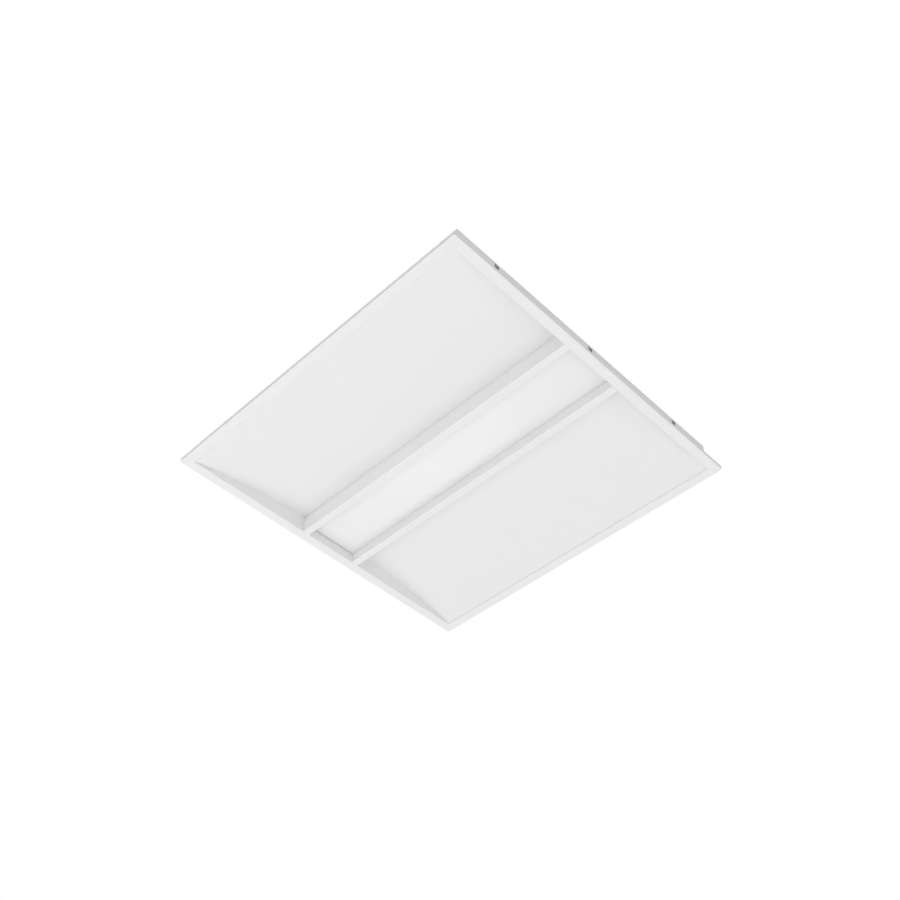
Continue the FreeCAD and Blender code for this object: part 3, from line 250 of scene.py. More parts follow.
def circuit_board():
    """Glass cloth in epoxy, laminated: green mask under which the cloth's 1 mm squares show."""
    made = begin("laminated_glass_epoxy")
    _, tree, _, place = made
    cloth = add(tree, "ShaderNodeTexBrick", {"Vector": place, "Scale": 1.0,
                                             "Mortar Size": 0.12 * MM,
                                             "Brick Width": MM, "Row Height": MM,
                                             "Color1": (0.4, 0.4, 0.4, 1),
                                             "Color2": (0.6, 0.6, 0.6, 1)})
    shade = add(tree, "ShaderNodeSeparateColor", {"Color": cloth.outputs["Color"]})
    return complete(made, shade.outputs[0], ("#1B5A35", "#226A40"), (0.30, 0.40),
                    shade.outputs[0], 0.01)


def wound_parts():
    """Coils in tape and capacitors in sleeves, wound and potted: blocks of 14 mm, each with its
    own colour from black to amber, under a varnish that pools in 1 mm ripples."""
    made = begin("wound_and_potted_parts")
    _, tree, _, place = made
    blocks = add(tree, "ShaderNodeTexVoronoi", {"Vector": place, "Scale": 1 / (14 * MM)})
    tone = add(tree, "ShaderNodeSeparateColor", {"Color": blocks.outputs["Color"]})
    ripples = add(tree, "ShaderNodeTexNoise", {"Vector": place, "Scale": 1 / MM})
    return complete(made, tone.outputs[0], ("#26272A", "#C79A34"), (0.30, 0.55),
                    ripples.outputs[0], 0.02)


def insulation(name, tones):
    """PVC, extruded over a copper lead: even colour with a soft gloss, drawn out in ripples
    0.8 mm wide along the lead's main run."""
    made = begin(name, IOR=1.54)
    _, tree, _, place = made
    along = add(tree, "ShaderNodeMapping", {"Vector": place, "Scale": (1, 0.2, 1)})
    ripples = add(tree, "ShaderNodeTexNoise", {"Vector": along.outputs[0], "Scale": 1 / (0.8 * MM)})
    return complete(made, ripples.outputs[0], tones, (0.34, 0.42), ripples.outputs[0], 0.01, 0.1)


def earth_insulation():
    """PVC in two colours, extruded together over the earth lead: green with a yellow stripe
    along its upper side, where the surface's normal rises by more than half."""
    made = begin("extruded_pvc_green_yellow", IOR=1.54)
    _, tree, _, place = made
    facing = add(tree, "ShaderNodeNewGeometry")
    parts = add(tree, "ShaderNodeSeparateXYZ", {"Vector": facing.outputs["Normal"]})
    stripe = add(tree, "ShaderNodeMapRange", {"Value": parts.outputs["Z"],
                                              "From Min": 0.52, "From Max": 0.58,
                                              "To Min": PATTERN_LOW, "To Max": PATTERN_HIGH})
    ripples = add(tree, "ShaderNodeTexNoise", {"Vector": place, "Scale": 1 / (0.8 * MM)})
    return complete(made, stripe.outputs[0], ("#2E7D3B", "#E3C21E"), (0.34, 0.42),
                    ripples.outputs[0], 0.01, 0.1)


def foam():
    """White polyethylene foam, cut in strips: matt and dense, with closed cells of 0.5 mm."""
    made = begin("cut_white_foam")
    _, tree, _, place = made
    cells = add(tree, "ShaderNodeTexVoronoi", {"Vector": place, "Scale": 1 / (0.5 * MM)})
    return complete(made, cells.outputs["Distance"], ("#EEEEED", "#E6E6E5"), (0.8, 0.9),
                    cells.outputs["Distance"], 0.05)


COATED_STEEL = powder_coat()
PACKAGE_BODY = moulded("moulded_package_body", ("#ECEBE6", "#F4F3EF"), (0.45, 0.55), 1.5, 0.5,
                       0.004, 0.08)
SOLDER = solder()
FINISHES = {
    # the material slots of the CAD nodes
    "coated_steel": COATED_STEEL,
    "rail_steel": COATED_STEEL,
    "reflector_coat": reflector_enamel(),
    "opal_acrylic": opal_acrylic(),
    "trim_aluminium": worked_metal("anodised_aluminium_extrusion", ("#C6C8CA", "#D2D4D5"),
                                   (0.28, 0.42), 0.5, (1, 80, 1)),
    "carrier_aluminium": worked_metal("rolled_aluminium_sheet", ("#C2C4C5", "#D0D1D2"),
                                      (0.30, 0.48), 0.8, (1, 60, 1)),
    "spring_steel": worked_metal("rolled_spring_steel", ("#94979B", "#A6A9AC"), (0.22, 0.36),
                                 0.4, (30, 1, 1)),
    "contact_copper": worked_metal("tin_plated_copper_strip", ("#C9BBA8", "#D8CFC3"),
                                   (0.22, 0.38), 1.5, (1, 3, 1)),
    "zinc_steel": zinc_plate(),
    "galvanised_clip": galvanised_strip(),
    "board_white": solder_mask(),
    "led_phosphor": phosphor(),
    "gland_nylon": moulded("moulded_grey_polyamide", ("#BFC2C3", "#C9CCCC"), (0.44, 0.54), 1.53,
                           0.4, 0.02, 0.4),
    "black_rubber": rubber(),
    "driver_plastic": moulded("moulded_polycarbonate", ("#DEDFDC", "#E5E6E3"), (0.45, 0.55), 1.58,
                              0.45, 0.03, 0.5),
    "driver_pcb": circuit_board(),
    "driver_parts": wound_parts(),
    "connector_plastic": moulded("moulded_natural_nylon", ("#E6E3D8", "#EEEBE2"), (0.36, 0.44),
                                 1.53, 0.5, 0.01, 0.25, Subsurface_Weight=0.1,
                                 Subsurface_Radius=(1.0, 0.9, 0.75), Subsurface_Scale=MM),
    "block_plastic": moulded("moulded_grey_nylon", ("#B4B7B8", "#BEC1C1"), (0.38, 0.48), 1.53, 0.5,
                             0.015, 0.25),
    "lever_orange": moulded("moulded_orange_nylon", ("#D9661B", "#E27326"), (0.34, 0.44), 1.53, 0.5,
                            0.015, 0.25),
    "lead_brown": insulation("extruded_pvc_brown", ("#5B3420", "#683D27")),
    "lead_blue": insulation("extruded_pvc_blue", ("#1F5C9E", "#2868AC")),
    "lead_red": insulation("extruded_pvc_red", ("#A8221E", "#B52D27")),
    "lead_black": insulation("extruded_pvc_black", ("#202123", "#2A2B2D")),
    "lead_green_yellow": earth_insulation(),
}


def dress_cad_nodes():
    """Gives every CAD node the finish of its material slot."""
    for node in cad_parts.values():
        for holder in node.material_slots:
            holder.material = FINISHES[holder.material.name]


# ------------------------------------------------------------------- meshes

def grid_faces(rings, count, rings_close, points_close):
    """Quads of a grid of rings by count points, which may close on itself either way."""
    i, j = np.meshgrid(np.arange(rings if rings_close else rings - 1),
                       np.arange(count if points_close else count - 1), indexing="ij")
    here, there = i * count, (i + 1) % rings * count
    after = (j + 1) % count
    return np.stack([here + j, here + after, there + after, there + j], -1).reshape(-1, 4)


def volume(points, quads):
    """Signed volume: the sum of a . (b x c) / 6 over the two triangles of each quad."""
    a, b, c, d = (points[quads[:, k]] for k in range(4))
    return (np.einsum("ij,ij->", a, np.cross(b, c)) + np.einsum("ij,ij->", a, np.cross(c, d))) / 6


def outwards(points, quads):
    """The same closed surface, turned over if its signed volume is negative."""
    return points, quads[:, ::-1] if volume(points, quads) < 0 else quads


def skin(rings, looped=False):
    """Closed surface over rings of points, an array (ring, point, xyz), facing outwards.

    Neighbouring rings are joined by quads, and each end is closed by a fan round its middle.
    """
    count, points = rings.shape[:2]
    if not looped:
        first = np.repeat(rings[:1].mean(axis=1, keepdims=True), points, axis=1)
        last = np.repeat(rings[-1:].mean(axis=1, keepdims=True), points, axis=1)
        rings = np.concatenate([first, rings, last])
        count += 2
    return outwards(rings.reshape(-1, 3), grid_faces(count, points, looped, True))


def shell(near, far):
    """Closed skin of a sheet, from matching points of its two faces, arrays (row, column, xyz):
    the two faces, and a strip of quads along the border that joins them."""
    rows, columns = near.shape[:2]
    count = rows * columns
    face = grid_faces(rows, columns, False, False)
    index = np.arange(count).reshape(rows, columns)
    border = np.concatenate([index[0, :-1], index[:-1, -1], index[-1, :0:-1], index[:0:-1, 0]])
    after = np.roll(border, -1)
    strips = np.stack([after, border, border + count, after + count], -1)
    points = np.concatenate([near.reshape(-1, 3), far.reshape(-1, 3)])
    return outwards(points, np.concatenate([face, face[:, ::-1] + count, strips]))


def gather(parts):
    """One set of points and quads from several."""
    starts = np.cumsum([0] + [len(points) for points, _ in parts[:-1]])
    return (np.concatenate([points for points, _ in parts]),
            np.concatenate([quads + start for (_, quads), start in zip(parts, starts)]))


def copies(part, places):
    """The same part moved to each of several places."""
    points, quads = part
    return gather([(points + np.array(place), quads) for place in places])


SAME_POINT = 1e-7         # metres within which points are one


def merge_doubles(mesh):
    """Joins points that lie together, which closes seams and poles."""
    work = bmesh.new()
    work.from_mesh(mesh)
    bmesh.ops.remove_doubles(work, verts=work.verts, dist=SAME_POINT)
    bmesh.ops.dissolve_degenerate(work, edges=work.edges, dist=SAME_POINT)
    work.to_mesh(mesh)
    work.free()


def piece(name, parts, body, material, replaced=(), sharp=32):
    """Makes one piece from parts in millimetres, which rides on a body and takes the place of
    the replaced nodes. Doubled points merge, and edges over sharp degrees stay crisp."""
    points, quads = gather(parts)
    mesh = bpy.data.meshes.new(name)
    mesh.from_pydata((points * MM).tolist(), [], quads.tolist())
    made = bpy.data.objects.new(name, mesh)
    bpy.context.scene.collection.objects.link(made)
    merge_doubles(mesh)
    mesh.shade_smooth()
    mesh.set_sharp_from_angle(angle=math.radians(sharp))
    mesh.materials.append(material)
    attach(made, body)
    if replaced:
        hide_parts(*replaced)


def axes_of(direction):
    """The unit vector along a direction, and two across it."""
    along = np.array(direction, float)
    along /= np.linalg.norm(along)
    other = np.array([0, 0, 1.0]) if abs(along[2]) < 0.9 else np.array([1.0, 0, 0])
    side = np.cross(other, along)
    side /= np.linalg.norm(side)
    return along, side, np.cross(along, side)


def turned(at, direction, heights, radii, angles):
    """Rings of points round a line: at + height along + radius (cos angle side + sin angle up)."""
    along, side, up = axes_of(direction)
    heights, radii, angles = np.broadcast_arrays(heights, radii, angles)
    return (np.array(at, float) + heights[..., None] * along
            + (radii * np.cos(angles))[..., None] * side + (radii * np.sin(angles))[..., None] * up)


def circle(count):
    """Angles of one full turn, evenly spaced, as a row."""
    return np.linspace(0, 2 * math.pi, count, endpoint=False)[None, :]


def rounded_rings(half_x, half_y, corner, levels, steps):
    """Rings of a rounded rectangle, one for each (height, inset) of levels.

    Each corner is its centre plus (corner - inset)(cos t, sin t) over a quarter turn.
    """
    quarter = np.linspace(0, math.pi / 2, steps)
    turns = np.concatenate([quarter + k * math.pi / 2 for k in range(4)])
    signs_x = np.repeat([1, -1, -1, 1], steps)
    signs_y = np.repeat([1, 1, -1, -1], steps)
    rings = []
    for height, inset in levels:
        radius = max(corner - inset, 1e-3)
        x = signs_x * (half_x - inset - radius) + radius * np.cos(turns)
        y = signs_y * (half_y - inset - radius) + radius * np.sin(turns)
        rings.append(np.stack([x, y, np.full_like(x, height)], -1))
    return np.array(rings)


def slab(low, high, corner, edge):
    """Block between two corners, its upright edges rounded by corner, its others cut by edge."""
    low, high = np.array(low, float), np.array(high, float)
    half, middle = (high - low) / 2, (high + low) / 2
    levels = [(-half[2], edge), (-half[2] + edge, 0), (half[2] - edge, 0), (half[2], edge)]
    points, quads = skin(rounded_rings(half[0], half[1], corner, levels, steps=4))
    return points + middle, quads


# ------------------------------------------------------------------- frame

FRAME_CORNER = 3.0        # rounding of the outside corners, seen from below
EDGE_BEND = 1.0           # bend from the face into the rim
LIP_BEND = 0.5            # bend from the face into the inner lip
LIP_HEIGHT = 2.2
FRAME_SHEET = 0.8
HEM = 1.2                 # thickness of the rim, folded over at its top
CORNER_STEPS = 9          # points on each rounded corner


def bend(middle, radius, start, end, steps):
    """Points (inset, level) on an arc, from one angle in degrees to another."""
    turn = np.radians(np.linspace(start, end, steps))
    return np.stack([middle[0] + radius * np.cos(turn), middle[1] + radius * np.sin(turn)], -1)


def frame_faces():
    """The two faces of the frame's folded sheet, as matching lists of (inset, level): lip,
    face, bend, rim, and the hem's round top, where the faces meet."""
    low, high = span("frame_right")
    face = high[0] - low[0]
    fold = (HEM / 2, high[2] - HEM / 2)
    room = np.concatenate([[(face, LIP_HEIGHT)],
                           bend((face - LIP_BEND, LIP_BEND), LIP_BEND, 0, -90, 4),
                           bend((EDGE_BEND, EDGE_BEND), EDGE_BEND, -90, -180, 9),
                           bend(fold, HEM / 2, 180, 90, 5)])
    inner = EDGE_BEND - FRAME_SHEET     # inside radius of both bends
    lip = face - FRAME_SHEET
    back = np.concatenate([[(lip, LIP_HEIGHT)],
                           bend((lip - inner, FRAME_SHEET + inner), inner, 0, -90, 4),
                           bend((HEM + inner, FRAME_SHEET + inner), inner, -90, -180, 9),
                           bend(fold, HEM / 2, 0, 90, 5)])
    return room, back


def make_frame():
    """Four mitred frame sides: the folded section carried round a square with rounded corners,
    cut at the middle of each corner."""
    half = span("frame_right")[1][0]
    near, far = (rounded_rings(half, half, FRAME_CORNER, [(level, inset) for inset, level in line],
                               CORNER_STEPS) for line in frame_faces())
    side = np.arange(CORNER_STEPS + 1) + CORNER_STEPS // 2
    for k, name in enumerate(("rear", "left", "front", "right")):
        reach = (side + k * CORNER_STEPS) % (4 * CORNER_STEPS)
        piece("frame_side_" + name, [shell(near[:, reach], far[:, reach])], "housing",
              COATED_STEEL, ["frame_" + name])


# ------------------------------------------------------------------- reflectors

WING_FOOT = 278.2         # where the curve starts beside the frame
WING_HEAD = 60.0          # where it ends beside the rib
WING_RISE = 3.9           # bulge of the curve above its chord
WING_SHEET = 0.6
WING_STEPS = 65           # points along the curve


def reflector_wing(side):
    """Curved reflector: z = chord + 4 rise t(1 - t) from the foot by the frame to the head by
    the rib, with a flat margin at each end. Its other face is the same, one sheet higher."""
    low, high = span("wing_right")
    t = np.linspace(0, 1, WING_STEPS)
    curve_x = WING_FOOT + (WING_HEAD - WING_FOOT) * t
    curve_z = low[2] + (high[2] - WING_SHEET - low[2]) * t + 4 * WING_RISE * t * (1 - t)
    x = side * np.concatenate([[high[0]], curve_x, [low[0]]])
    z = np.concatenate([[low[2]], curve_z, [high[2] - WING_SHEET]])
    ends = np.array([low[1], high[1]])
    x, y, z = np.broadcast_arrays(x[:, None], ends[None, :], z[:, None])
    return shell(np.stack([x, y, z], -1), np.stack([x, y, z + WING_SHEET], -1))


def make_reflectors():
    """The two reflectors; their curve is smooth, so only edges over 5 degrees stay crisp."""
    for name, side in (("right", 1), ("left", -1)):
        piece("reflector_wing_" + name, [reflector_wing(side)], "housing",
              FINISHES["reflector_coat"], ["wing_" + name], sharp=5)


SEAL_WIDTH = 2.0
SEAL_GAP = 0.1            # from the rib's outer edge
SEAL_END = 0.4            # shorter than the reflector at each end
SEAL_EDGE = 0.3           # rounding


def make_light_seals():
    """Foam strips on the ribs, which close the slot under each reflector's head against light."""
    rib, wing = span("rib_right")[1], span("wing_right")
    inner, outer = rib[0] - SEAL_WIDTH - SEAL_GAP, rib[0] - SEAL_GAP
    front, rear = wing[0][1] + SEAL_END, wing[1][1] - SEAL_END
    top = wing[1][2] - WING_SHEET
    white = foam()
    for name, side in (("right", 1), ("left", -1)):
        ends = np.sort([side * inner, side * outer])
        strip = slab((ends[0], front, rib[2]), (ends[1], rear, top), SEAL_EDGE, SEAL_EDGE)
        piece("light_seal_" + name, [strip], "housing", white)


# ------------------------------------------------------------------- fasteners

SMALL = (1.5, 2.8, 1.6)   # shank radius, head radius, head height
LARGE = (2.0, 3.8, 2.2)
THREAD_PITCH = 0.7
THREAD_DEPTH = 0.2


def cross_screw(kind, seat, direction, length):
    """Pan-head screw with a cross recess and a ridged shank.

    Head: height h(1 - 0.5 (r/R)^3). Each arm of the cross is the strip within w of its middle
    line out to 0.6 R, so on a ring of radius r its edge stands at the angle asin(w / r); the
    floor of the arms rises from the middle to their ends. Shank: its radius swings by the
    thread's depth once in each pitch, and its tip is a little thinner.
    """
    shank, head, height = kind
    arm, reach = 0.17 * head, 0.6 * head
    core = arm * math.sqrt(2)           # where two arms meet
    radii = np.array([0.2 * core, core, 0.75 * reach, reach,
                      reach, 0.75 * head, 0.92 * head, head, head])
    cut = np.array([1, 1, 1, 1, 0, 0, 0, 0, 0], bool)
    edge = np.arcsin(np.minimum(arm / radii, math.sin(math.pi / 4)))
    inside = np.linspace(-1, 1, 3)[None, :] * edge[:, None]
    outside = edge[:, None] + np.linspace(0, 1, 4)[None, :] * (math.pi / 2 - 2 * edge)[:, None]
    quarter = np.concatenate([inside, outside], axis=1)
    angles = np.concatenate([quarter + k * math.pi / 2 for k in range(4)], axis=1)
    in_arm = np.tile([True] * 3 + [False] * 4, 4)[None, :]
    dome = height * (1 - 0.5 * (radii / head) ** 3)
    dome[-1] = 0
    sunk = cut[:, None] & (in_arm | (radii[:, None] <= core))
    floor = height * (0.25 + 0.3 * radii / reach)
    heights = np.where(sunk, floor[:, None], dome[:, None])
    rings = max(2, int(length / THREAD_PITCH * 2)) + 1
    depth = np.linspace(0, -length, rings)
    ridge = shank - THREAD_DEPTH * (np.arange(rings) % 2)
    ridge[-1] = shank - 2 * THREAD_DEPTH
    columns = angles.shape[1]
    all_heights = np.concatenate([heights, np.repeat(depth[:, None], columns, 1)])
    all_radii = np.repeat(np.concatenate([radii, ridge])[:, None], columns, 1)
    all_angles = np.concatenate([angles, np.repeat(angles[-1:], rings, 0)])
    return skin(turned(seat, -np.array(direction, float), all_heights, all_radii, all_angles))


SCREWS = {
    # node: groups of (kind, way the shank points, its length, seats of the heads)
    "pan_screws": [
        (SMALL, DOWN, 4.0, [(x, y, 49.0) for x in (-249, -83, 83, 249) for y in (-276.3, 276.3)])],
    "board_screws": [
        (SMALL, UP, 2.0, [(x, y, 46.2) for x in (-27.8, 27.8)
                          for y in (-247.5, -127.5, 7.5, 127.5, 247.5)])],
    "box_screws": [(LARGE, DOWN, 4.6, [(x, y, 49.8) for x in (-37, 37) for y in (-140, 140)])],
    "cover_screws": [(LARGE, LEFT, 5.0, [(44.3, y, 76.3) for y in (-90, 90)])],
    "gear_screws": [
        (SMALL, DOWN, 2.3, [(0, y, 51.3) for y in (-109.5, 59.5)]),        # driver
        (SMALL, DOWN, 3.0, [(0, y, 52.0) for y in (81.4, 110.6)])],        # terminal holder
    "rib_screws": [
        (LARGE, REAR, 6.0, [(x, -283.3, 14.0) for x in (-53.5, 53.5)]),
        (LARGE, FRONT, 6.0, [(x, 283.3, 14.0) for x in (-53.5, 53.5)])],
}


def make_screws():
    """One piece for each node of screws."""
    for node, groups in SCREWS.items():
        screws = [cross_screw(kind, seat, direction, length)
                  for kind, direction, length, seats in groups for seat in seats]
        piece("cross_" + node, screws, "housing", FINISHES["zinc_steel"], [node])


# ------------------------------------------------------------------- light engine

LED_COUNT = 35            # on each board
LED_PITCH = 15.0
BOARD_PLACE = 22.0        # middle of a board, from the middle of the light
PACKAGE_HALF = 1.5
CUP_HALF = 1.1            # the phosphor face in the package
PAD_START, PAD_END, PAD_HALF = 1.62, 2.5, 1.1
PAD_HEIGHT = 0.06


def led_places(level):
    """Places of all the LEDs of both boards, at one level."""
    rows = (np.arange(LED_COUNT) - (LED_COUNT - 1) / 2) * LED_PITCH
    return [(x, y, level) for x in (-BOARD_PLACE, BOARD_PLACE) for y in rows]


def make_leds():
    """LED packages: a rounded white body with a shallow cup, a phosphor face in the cup, and
    a solder pad beyond each end."""
    low, high = span("leds")
    board = high[2]
    drop = low[2] - board
    outside = [(0, 0), (drop + 0.15, 0), (drop, 0.12), (drop, 0.3), (drop + 0.18, 0.42)]
    body = skin(rounded_rings(PACKAGE_HALF, PACKAGE_HALF, 0.35, outside, steps=3))
    filled = [(drop + 0.2, 0), (drop + 0.1, 0), (drop + 0.07, 0.3)]
    face = skin(rounded_rings(CUP_HALF, CUP_HALF, 0.5, filled, steps=3))
    places = led_places(board)
    piece("led_bodies", [copies(body, places)], "housing", PACKAGE_BODY, ["leds"])
    piece("led_phosphor_faces", [copies(face, places)], "housing",
          FINISHES["led_phosphor"], ["leds"])
    pad = slab((-PAD_HALF, PAD_START, -PAD_HEIGHT), (PAD_HALF, PAD_END, 0.01),
               corner=0.2, edge=0.02)
    pads = gather([pad, (pad[0] * [1, -1, 1], pad[1][:, ::-1])])
    piece("board_pads", [copies(pads, places)], "housing", SOLDER)


# ------------------------------------------------------------------- housing back

BEAD_PLACE = 150.0        # from the middle of the light
BEAD_REACH = 211.5        # half its length
BEAD_HALF = 4.8           # half its width
BEAD_HEIGHT = 3.0
BEAD_CROWN = 0.2          # half width of its flat top
BEAD_FOOT = 0.4           # how far it goes into the sheet


def make_pan_beads():
    """Stiffening beads pressed out of the pan, with rounded ends and a soft foot.

    Height over the sheet is H cos(s 90 degrees)^1.2, where s is the share of the way from the
    middle to the rim.
    """
    top = span("gear_box")[0][2]
    share = np.linspace(1, 0, 9)
    height = BEAD_HEIGHT * np.cos(share * math.pi / 2) ** 1.2 + 0.02
    inset = (1 - share) * (BEAD_HALF - BEAD_CROWN)
    levels = [(-BEAD_FOOT, 0)] + list(zip(height, inset))
    bead = skin(rounded_rings(BEAD_HALF, BEAD_REACH, BEAD_HALF, levels, steps=7))
    piece("back_pan_beads", [copies(bead, [(s * BEAD_PLACE, 0, top) for s in (-1, 1)])], "housing",
          COATED_STEEL)


# ------------------------------------------------------------------- cable inlet

HEX = 20.0                # hexagon, across its flats
HEX_CORNER = HEX / math.sqrt(3)
GLAND_BORE = 4.5          # radii
GLAND_THREAD = 8.0
NUT_BORE = 8.05
GLAND_SIDES = 72


def hexagon_radius(angles):
    """Distance from the middle to a hexagon's side: half its width over cos of the turn from
    the nearest flat's middle."""
    turn = (angles % (math.pi / 3)) - math.pi / 6
    return HEX / 2 / np.cos(turn)


def hex_turned(profile, level):
    """Closed ring-shaped part on the gland's axis. Each point of the profile is (y, radius,
    on_hexagon); one on the hexagon is cut to the smaller of its radius and the six sides."""
    angles = circle(GLAND_SIDES)
    y = np.array([p[0] for p in profile])[:, None]
    radius = np.array([p[1] for p in profile])[:, None] + 0 * angles
    flats = np.array([p[2] for p in profile])[:, None]
    radius = np.where(flats, np.minimum(radius, hexagon_radius(angles)), radius)
    return skin(turned((0, 0, level), REAR, y, radius, angles), looped=True)


def ridges(start, end, outer, depth, pitch):
    """Profile of a thread: its radius swings between outer and outer - depth."""
    count = int(abs(end - start) / pitch * 2)
    y = np.linspace(start, end, count + 1)
    return [(v, outer - depth * (k % 2), False) for k, v in enumerate(y)]


def make_gland():
    """Cable gland: body with a chamfered hexagon and a thread, lock nut in the box, and dome
    nut, whose crown is a quarter of an ellipse: radius = 6.9 + 2.6 cos a, a from 0 to 90."""
    nylon = FINISHES["gland_nylon"]
    low, high = span("cable_gland")
    level = (low[2] + high[2]) / 2
    wall = span("gear_box")[1][1]
    hex_end = wall + 5.0
    body = ([(low[1], GLAND_BORE, False)] + ridges(low[1], wall, GLAND_THREAD, 0.45, 1.5)
            + [(wall, HEX_CORNER - 1, True), (wall + 0.9, HEX_CORNER, True),
               (hex_end - 0.9, HEX_CORNER, True), (hex_end, HEX_CORNER - 1.2, True),
               (hex_end, GLAND_THREAD - 0.1, False), (high[1], GLAND_THREAD - 0.1, False),
               (high[1], GLAND_BORE, False)])
    piece("gland_body", [hex_turned(body, level)], "housing", nylon, ["cable_gland"])

    start, end = (corner[1] for corner in span("gland_lock_nut"))
    nut = [(start, NUT_BORE, False), (start, HEX_CORNER - 1.2, True),
           (start + 0.8, HEX_CORNER, True), (end - 0.8, HEX_CORNER, True),
           (end, HEX_CORNER - 1.2, True), (end, NUT_BORE, False)]
    piece("gland_nut_in_box", [hex_turned(nut, level)], "housing", nylon,
          ["gland_lock_nut"])

    start, end = (corner[1] for corner in span("gland_dome_nut"))
    half = (end - start) / 2
    middle = start + half
    crown = [(middle + half * math.sin(a), 6.9 + 2.6 * math.cos(a), False)
             for a in np.linspace(0, math.pi / 2, 9)]
    dome = ([(start, NUT_BORE, False), (start, HEX_CORNER - 1, True),
             (start + 0.9, HEX_CORNER, True), (middle - 0.5, HEX_CORNER, True),
             (middle, 9.7, True)] + crown
            + [(end, 5.9, False), (end - 0.6, 5.7, False), (middle, 5.7, False),
               (middle, NUT_BORE, False)])
    piece("gland_dome", [hex_turned(dome, level)], "housing", nylon,
          ["gland_dome_nut"])


GROMMET_BORE = 4.0        # radii
GROMMET_WAIST = 6.0
GROMMET_FLANGE = 8.0
LIP = 0.75                # radius of a flange's rounded edge


def make_grommet():
    """Rubber grommet: two flanges with half-round edges, round a waist that sits in the two
    sheets, as one ring turned about Z. Its bore is flared by 0.6 mm at each end."""
    low, high = span("grommet")
    place = ((low[0] + high[0]) / 2, (low[1] + high[1]) / 2, 0)
    under, top = span("led_carrier")[1][2] - 1.0, span("gear_box")[0][2] + 0.8
    turn = np.linspace(-math.pi / 2, math.pi / 2, 7)
    rise, reach = LIP * np.sin(turn), GROMMET_FLANGE - LIP + LIP * np.cos(turn)
    bore = [(high[2], GROMMET_BORE + 0.6), (high[2] - 0.6, GROMMET_BORE),
            (low[2] + 0.6, GROMMET_BORE), (low[2], GROMMET_BORE + 0.6)]
    profile = np.concatenate([bore, np.stack([under - LIP + rise, reach], -1),
                              [(under, GROMMET_WAIST), (top, GROMMET_WAIST)],
                              np.stack([top + LIP + rise, reach], -1)])
    rings = turned(place, UP, profile[:, :1], profile[:, 1:], circle(40))
    piece("rubber_grommet", [skin(rings, looped=True)], "housing",
          FINISHES["black_rubber"], ["grommet"])


# ------------------------------------------------------------------- driver

RIB_COUNT = 7
RIB_HALF = 0.9            # half its width
RIB_HEIGHT = 0.7
RIB_FOOT = 0.3            # how far it goes into the case
RIB_MARGIN = (6, 24)      # from the case's sides and ends


def make_driver_ribs():
    """Cooling ribs moulded on the driver's case."""
    low, high = span("driver_case")
    across, along = RIB_MARGIN
    ribs = [slab((x - RIB_HALF, low[1] + along, high[2] - RIB_FOOT),
                 (x + RIB_HALF, high[1] - along, high[2] + RIB_HEIGHT), corner=0.8, edge=0.3)
            for x in np.linspace(low[0] + across, high[0] - across, RIB_COUNT)]
    piece("driver_case_ribs", ribs, "housing", FINISHES["driver_plastic"])


# ------------------------------------------------------------------- studio

CAMERA_PLACE = (-0.8740, -0.8741, -1.2607)      # metres
CAMERA_AZIMUTH = -44.908  # degrees, as are the next two
CAMERA_ELEVATION = -46.350
CAMERA_ROLL = 0.880
CAMERA_LENS = 45.55       # millimetres, as is the next one
SENSOR_WIDTH = 36.0
WORLD_LIGHT = (0.19, 0.91)      # its strength at the horizon and overhead
FLOOR_LEVEL = -2.4        # metres; the light hangs at ceiling height
FLOOR_HALF = 60.0
FLOOR_GLOW = 0.85         # share of white in what the camera sees of it
SOFT_BOXES = {
    # name: (place in metres, side in metres, watts)
    "box_front_low": ((0, -1.55, -1.55), 1.8, 6.6),
    "box_rear_low": ((0, 1.55, -1.55), 1.8, 3.5),
    "box_left_near": ((-1.1, 0.2, -1.2), 0.9, 4.3),
    "box_left": ((-2.1, 0, -0.6), 1.8, 1.2),
    "box_right": ((2.1, 0, -0.6), 1.8, 5.3),
    "box_gleam": ((1.25, 1.25, -1.8), 0.6, 3.2),    # mirrored by the lens into the camera
    "box_over": ((0, 0, 2.3), 1.6, 18.0),
}


def make_camera():
    """Camera below the light, looking up across its front left corner."""
    data = bpy.data.cameras.new("camera")
    data.lens = CAMERA_LENS
    data.sensor_width = SENSOR_WIDTH
    data.clip_end = 50.0
    camera = bpy.data.objects.new("camera", data)
    a, e = math.radians(CAMERA_AZIMUTH), math.radians(CAMERA_ELEVATION)
    back = Vector((math.sin(a) * math.cos(e), -math.cos(a) * math.cos(e), math.sin(e)))
    roll = Quaternion((0, 0, 1), math.radians(CAMERA_ROLL))
    camera.rotation_mode = "QUATERNION"
    camera.rotation_quaternion = (-back).to_track_quat("-Z", "Y") @ roll
    camera.location = CAMERA_PLACE
    bpy.context.scene.collection.objects.link(camera)
    bpy.context.scene.camera = camera


def seen_directly(tree):
    """1 where a ray comes from the camera, a mirror surface or glass, else 0."""
    path = add(tree, "ShaderNodeLightPath").outputs
    either = add(tree, "ShaderNodeMath", {0: path["Is Camera Ray"], 1: path["Is Glossy Ray"]},
                 operation="MAXIMUM").outputs[0]
    return add(tree, "ShaderNodeMath", {0: either, 1: path["Is Transmission Ray"]},
               operation="MAXIMUM").outputs[0]


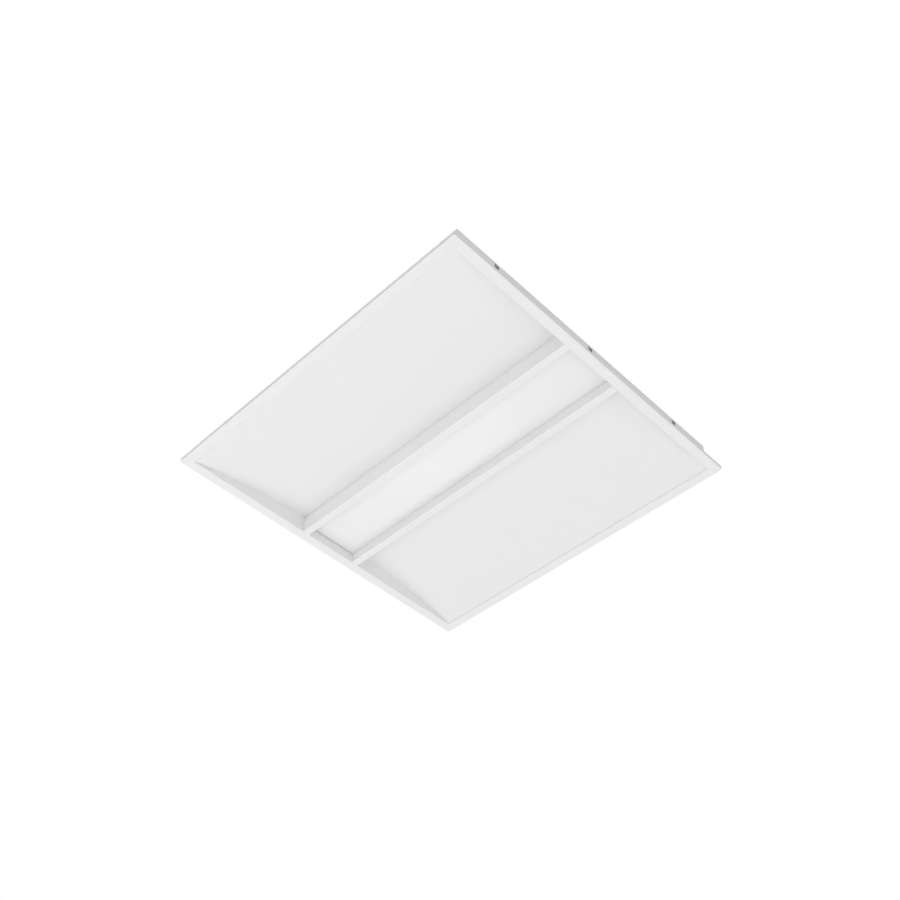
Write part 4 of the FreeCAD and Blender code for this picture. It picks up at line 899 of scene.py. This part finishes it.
def make_world():
    """White to look at. The light that it gives the object is weak at the horizon and grows
    with height; the floor hides what is below."""
    world = bpy.data.worlds.new("studio")
    world.use_nodes = True
    tree = world.node_tree
    tree.nodes.clear()
    way = add(tree, "ShaderNodeTexCoord").outputs["Generated"]
    height = add(tree, "ShaderNodeSeparateXYZ", {"Vector": way}).outputs["Z"]
    level = add(tree, "ShaderNodeMapRange", {"Value": height, "To Min": WORLD_LIGHT[0],
                                             "To Max": WORLD_LIGHT[1]})
    light = add(tree, "ShaderNodeBackground", {"Color": WHITE, "Strength": level.outputs[0]})
    white = add(tree, "ShaderNodeBackground", {"Color": WHITE, "Strength": 1.0})
    mix = add(tree, "ShaderNodeMixShader", {0: seen_directly(tree), 1: light.outputs[0],
                                            2: white.outputs[0]})
    add(tree, "ShaderNodeOutputWorld", {"Surface": mix.outputs[0]})
    bpy.context.scene.world = world


def make_lamp(name, place, size, power):
    """Square soft box that faces the object and isn't seen itself."""
    data = bpy.data.lights.new(name, "AREA")
    data.shape = "SQUARE"
    data.size = size
    data.energy = power
    lamp = bpy.data.objects.new(name, data)
    lamp.location = place
    lamp.rotation_mode = "QUATERNION"
    lamp.rotation_quaternion = (-Vector(place)).to_track_quat("-Z", "Y")
    lamp.visible_camera = False
    bpy.context.scene.collection.objects.link(lamp)


def make_floor():
    """Pale floor of the room, well below the light: emulsion rolled on, with clouds of 400 mm
    and a nap of 3 mm. Seen directly, most of it is white."""
    mesh = bpy.data.meshes.new("floor")
    mesh.from_pydata([(x * FLOOR_HALF, y * FLOOR_HALF, FLOOR_LEVEL)
                      for x, y in ((-1, -1), (1, -1), (1, 1), (-1, 1))], [], [(0, 1, 2, 3)])
    floor = bpy.data.objects.new("floor", mesh)
    bpy.context.scene.collection.objects.link(floor)
    made = begin("rolled_wall_paint")
    material, tree, shader, place = made
    cloud = add(tree, "ShaderNodeTexNoise", {"Vector": place, "Scale": 1 / (400 * MM)})
    nap = add(tree, "ShaderNodeTexNoise", {"Vector": place, "Scale": 1 / (3 * MM)})
    complete(made, cloud.outputs[0], ("#F0F0F0", "#F3F3F3"), (0.8, 0.9), nap.outputs[0], 0.1)
    glow = add(tree, "ShaderNodeEmission", {"Color": WHITE, "Strength": 1.0})
    share = add(tree, "ShaderNodeMath", {0: seen_directly(tree), 1: FLOOR_GLOW},
                operation="MULTIPLY")
    mix = add(tree, "ShaderNodeMixShader", {0: share.outputs[0], 1: shader.outputs[0],
                                            2: glow.outputs[0]})
    tree.links.new(mix.outputs[0], tree.nodes["Material Output"].inputs["Surface"])
    mesh.materials.append(material)


def make_studio():
    """Camera, world, lamps and floor."""
    bpy.context.scene.view_settings.view_transform = "Standard"
    make_camera()
    make_world()
    for name, (place, size, power) in SOFT_BOXES.items():
        make_lamp(name, place, size, power)
    make_floor()


make_studio()
dress_cad_nodes()
make_frame()
make_reflectors()
make_light_seals()
make_screws()
make_leds()
make_pan_beads()
make_gland()
make_grommet()
make_driver_ribs()
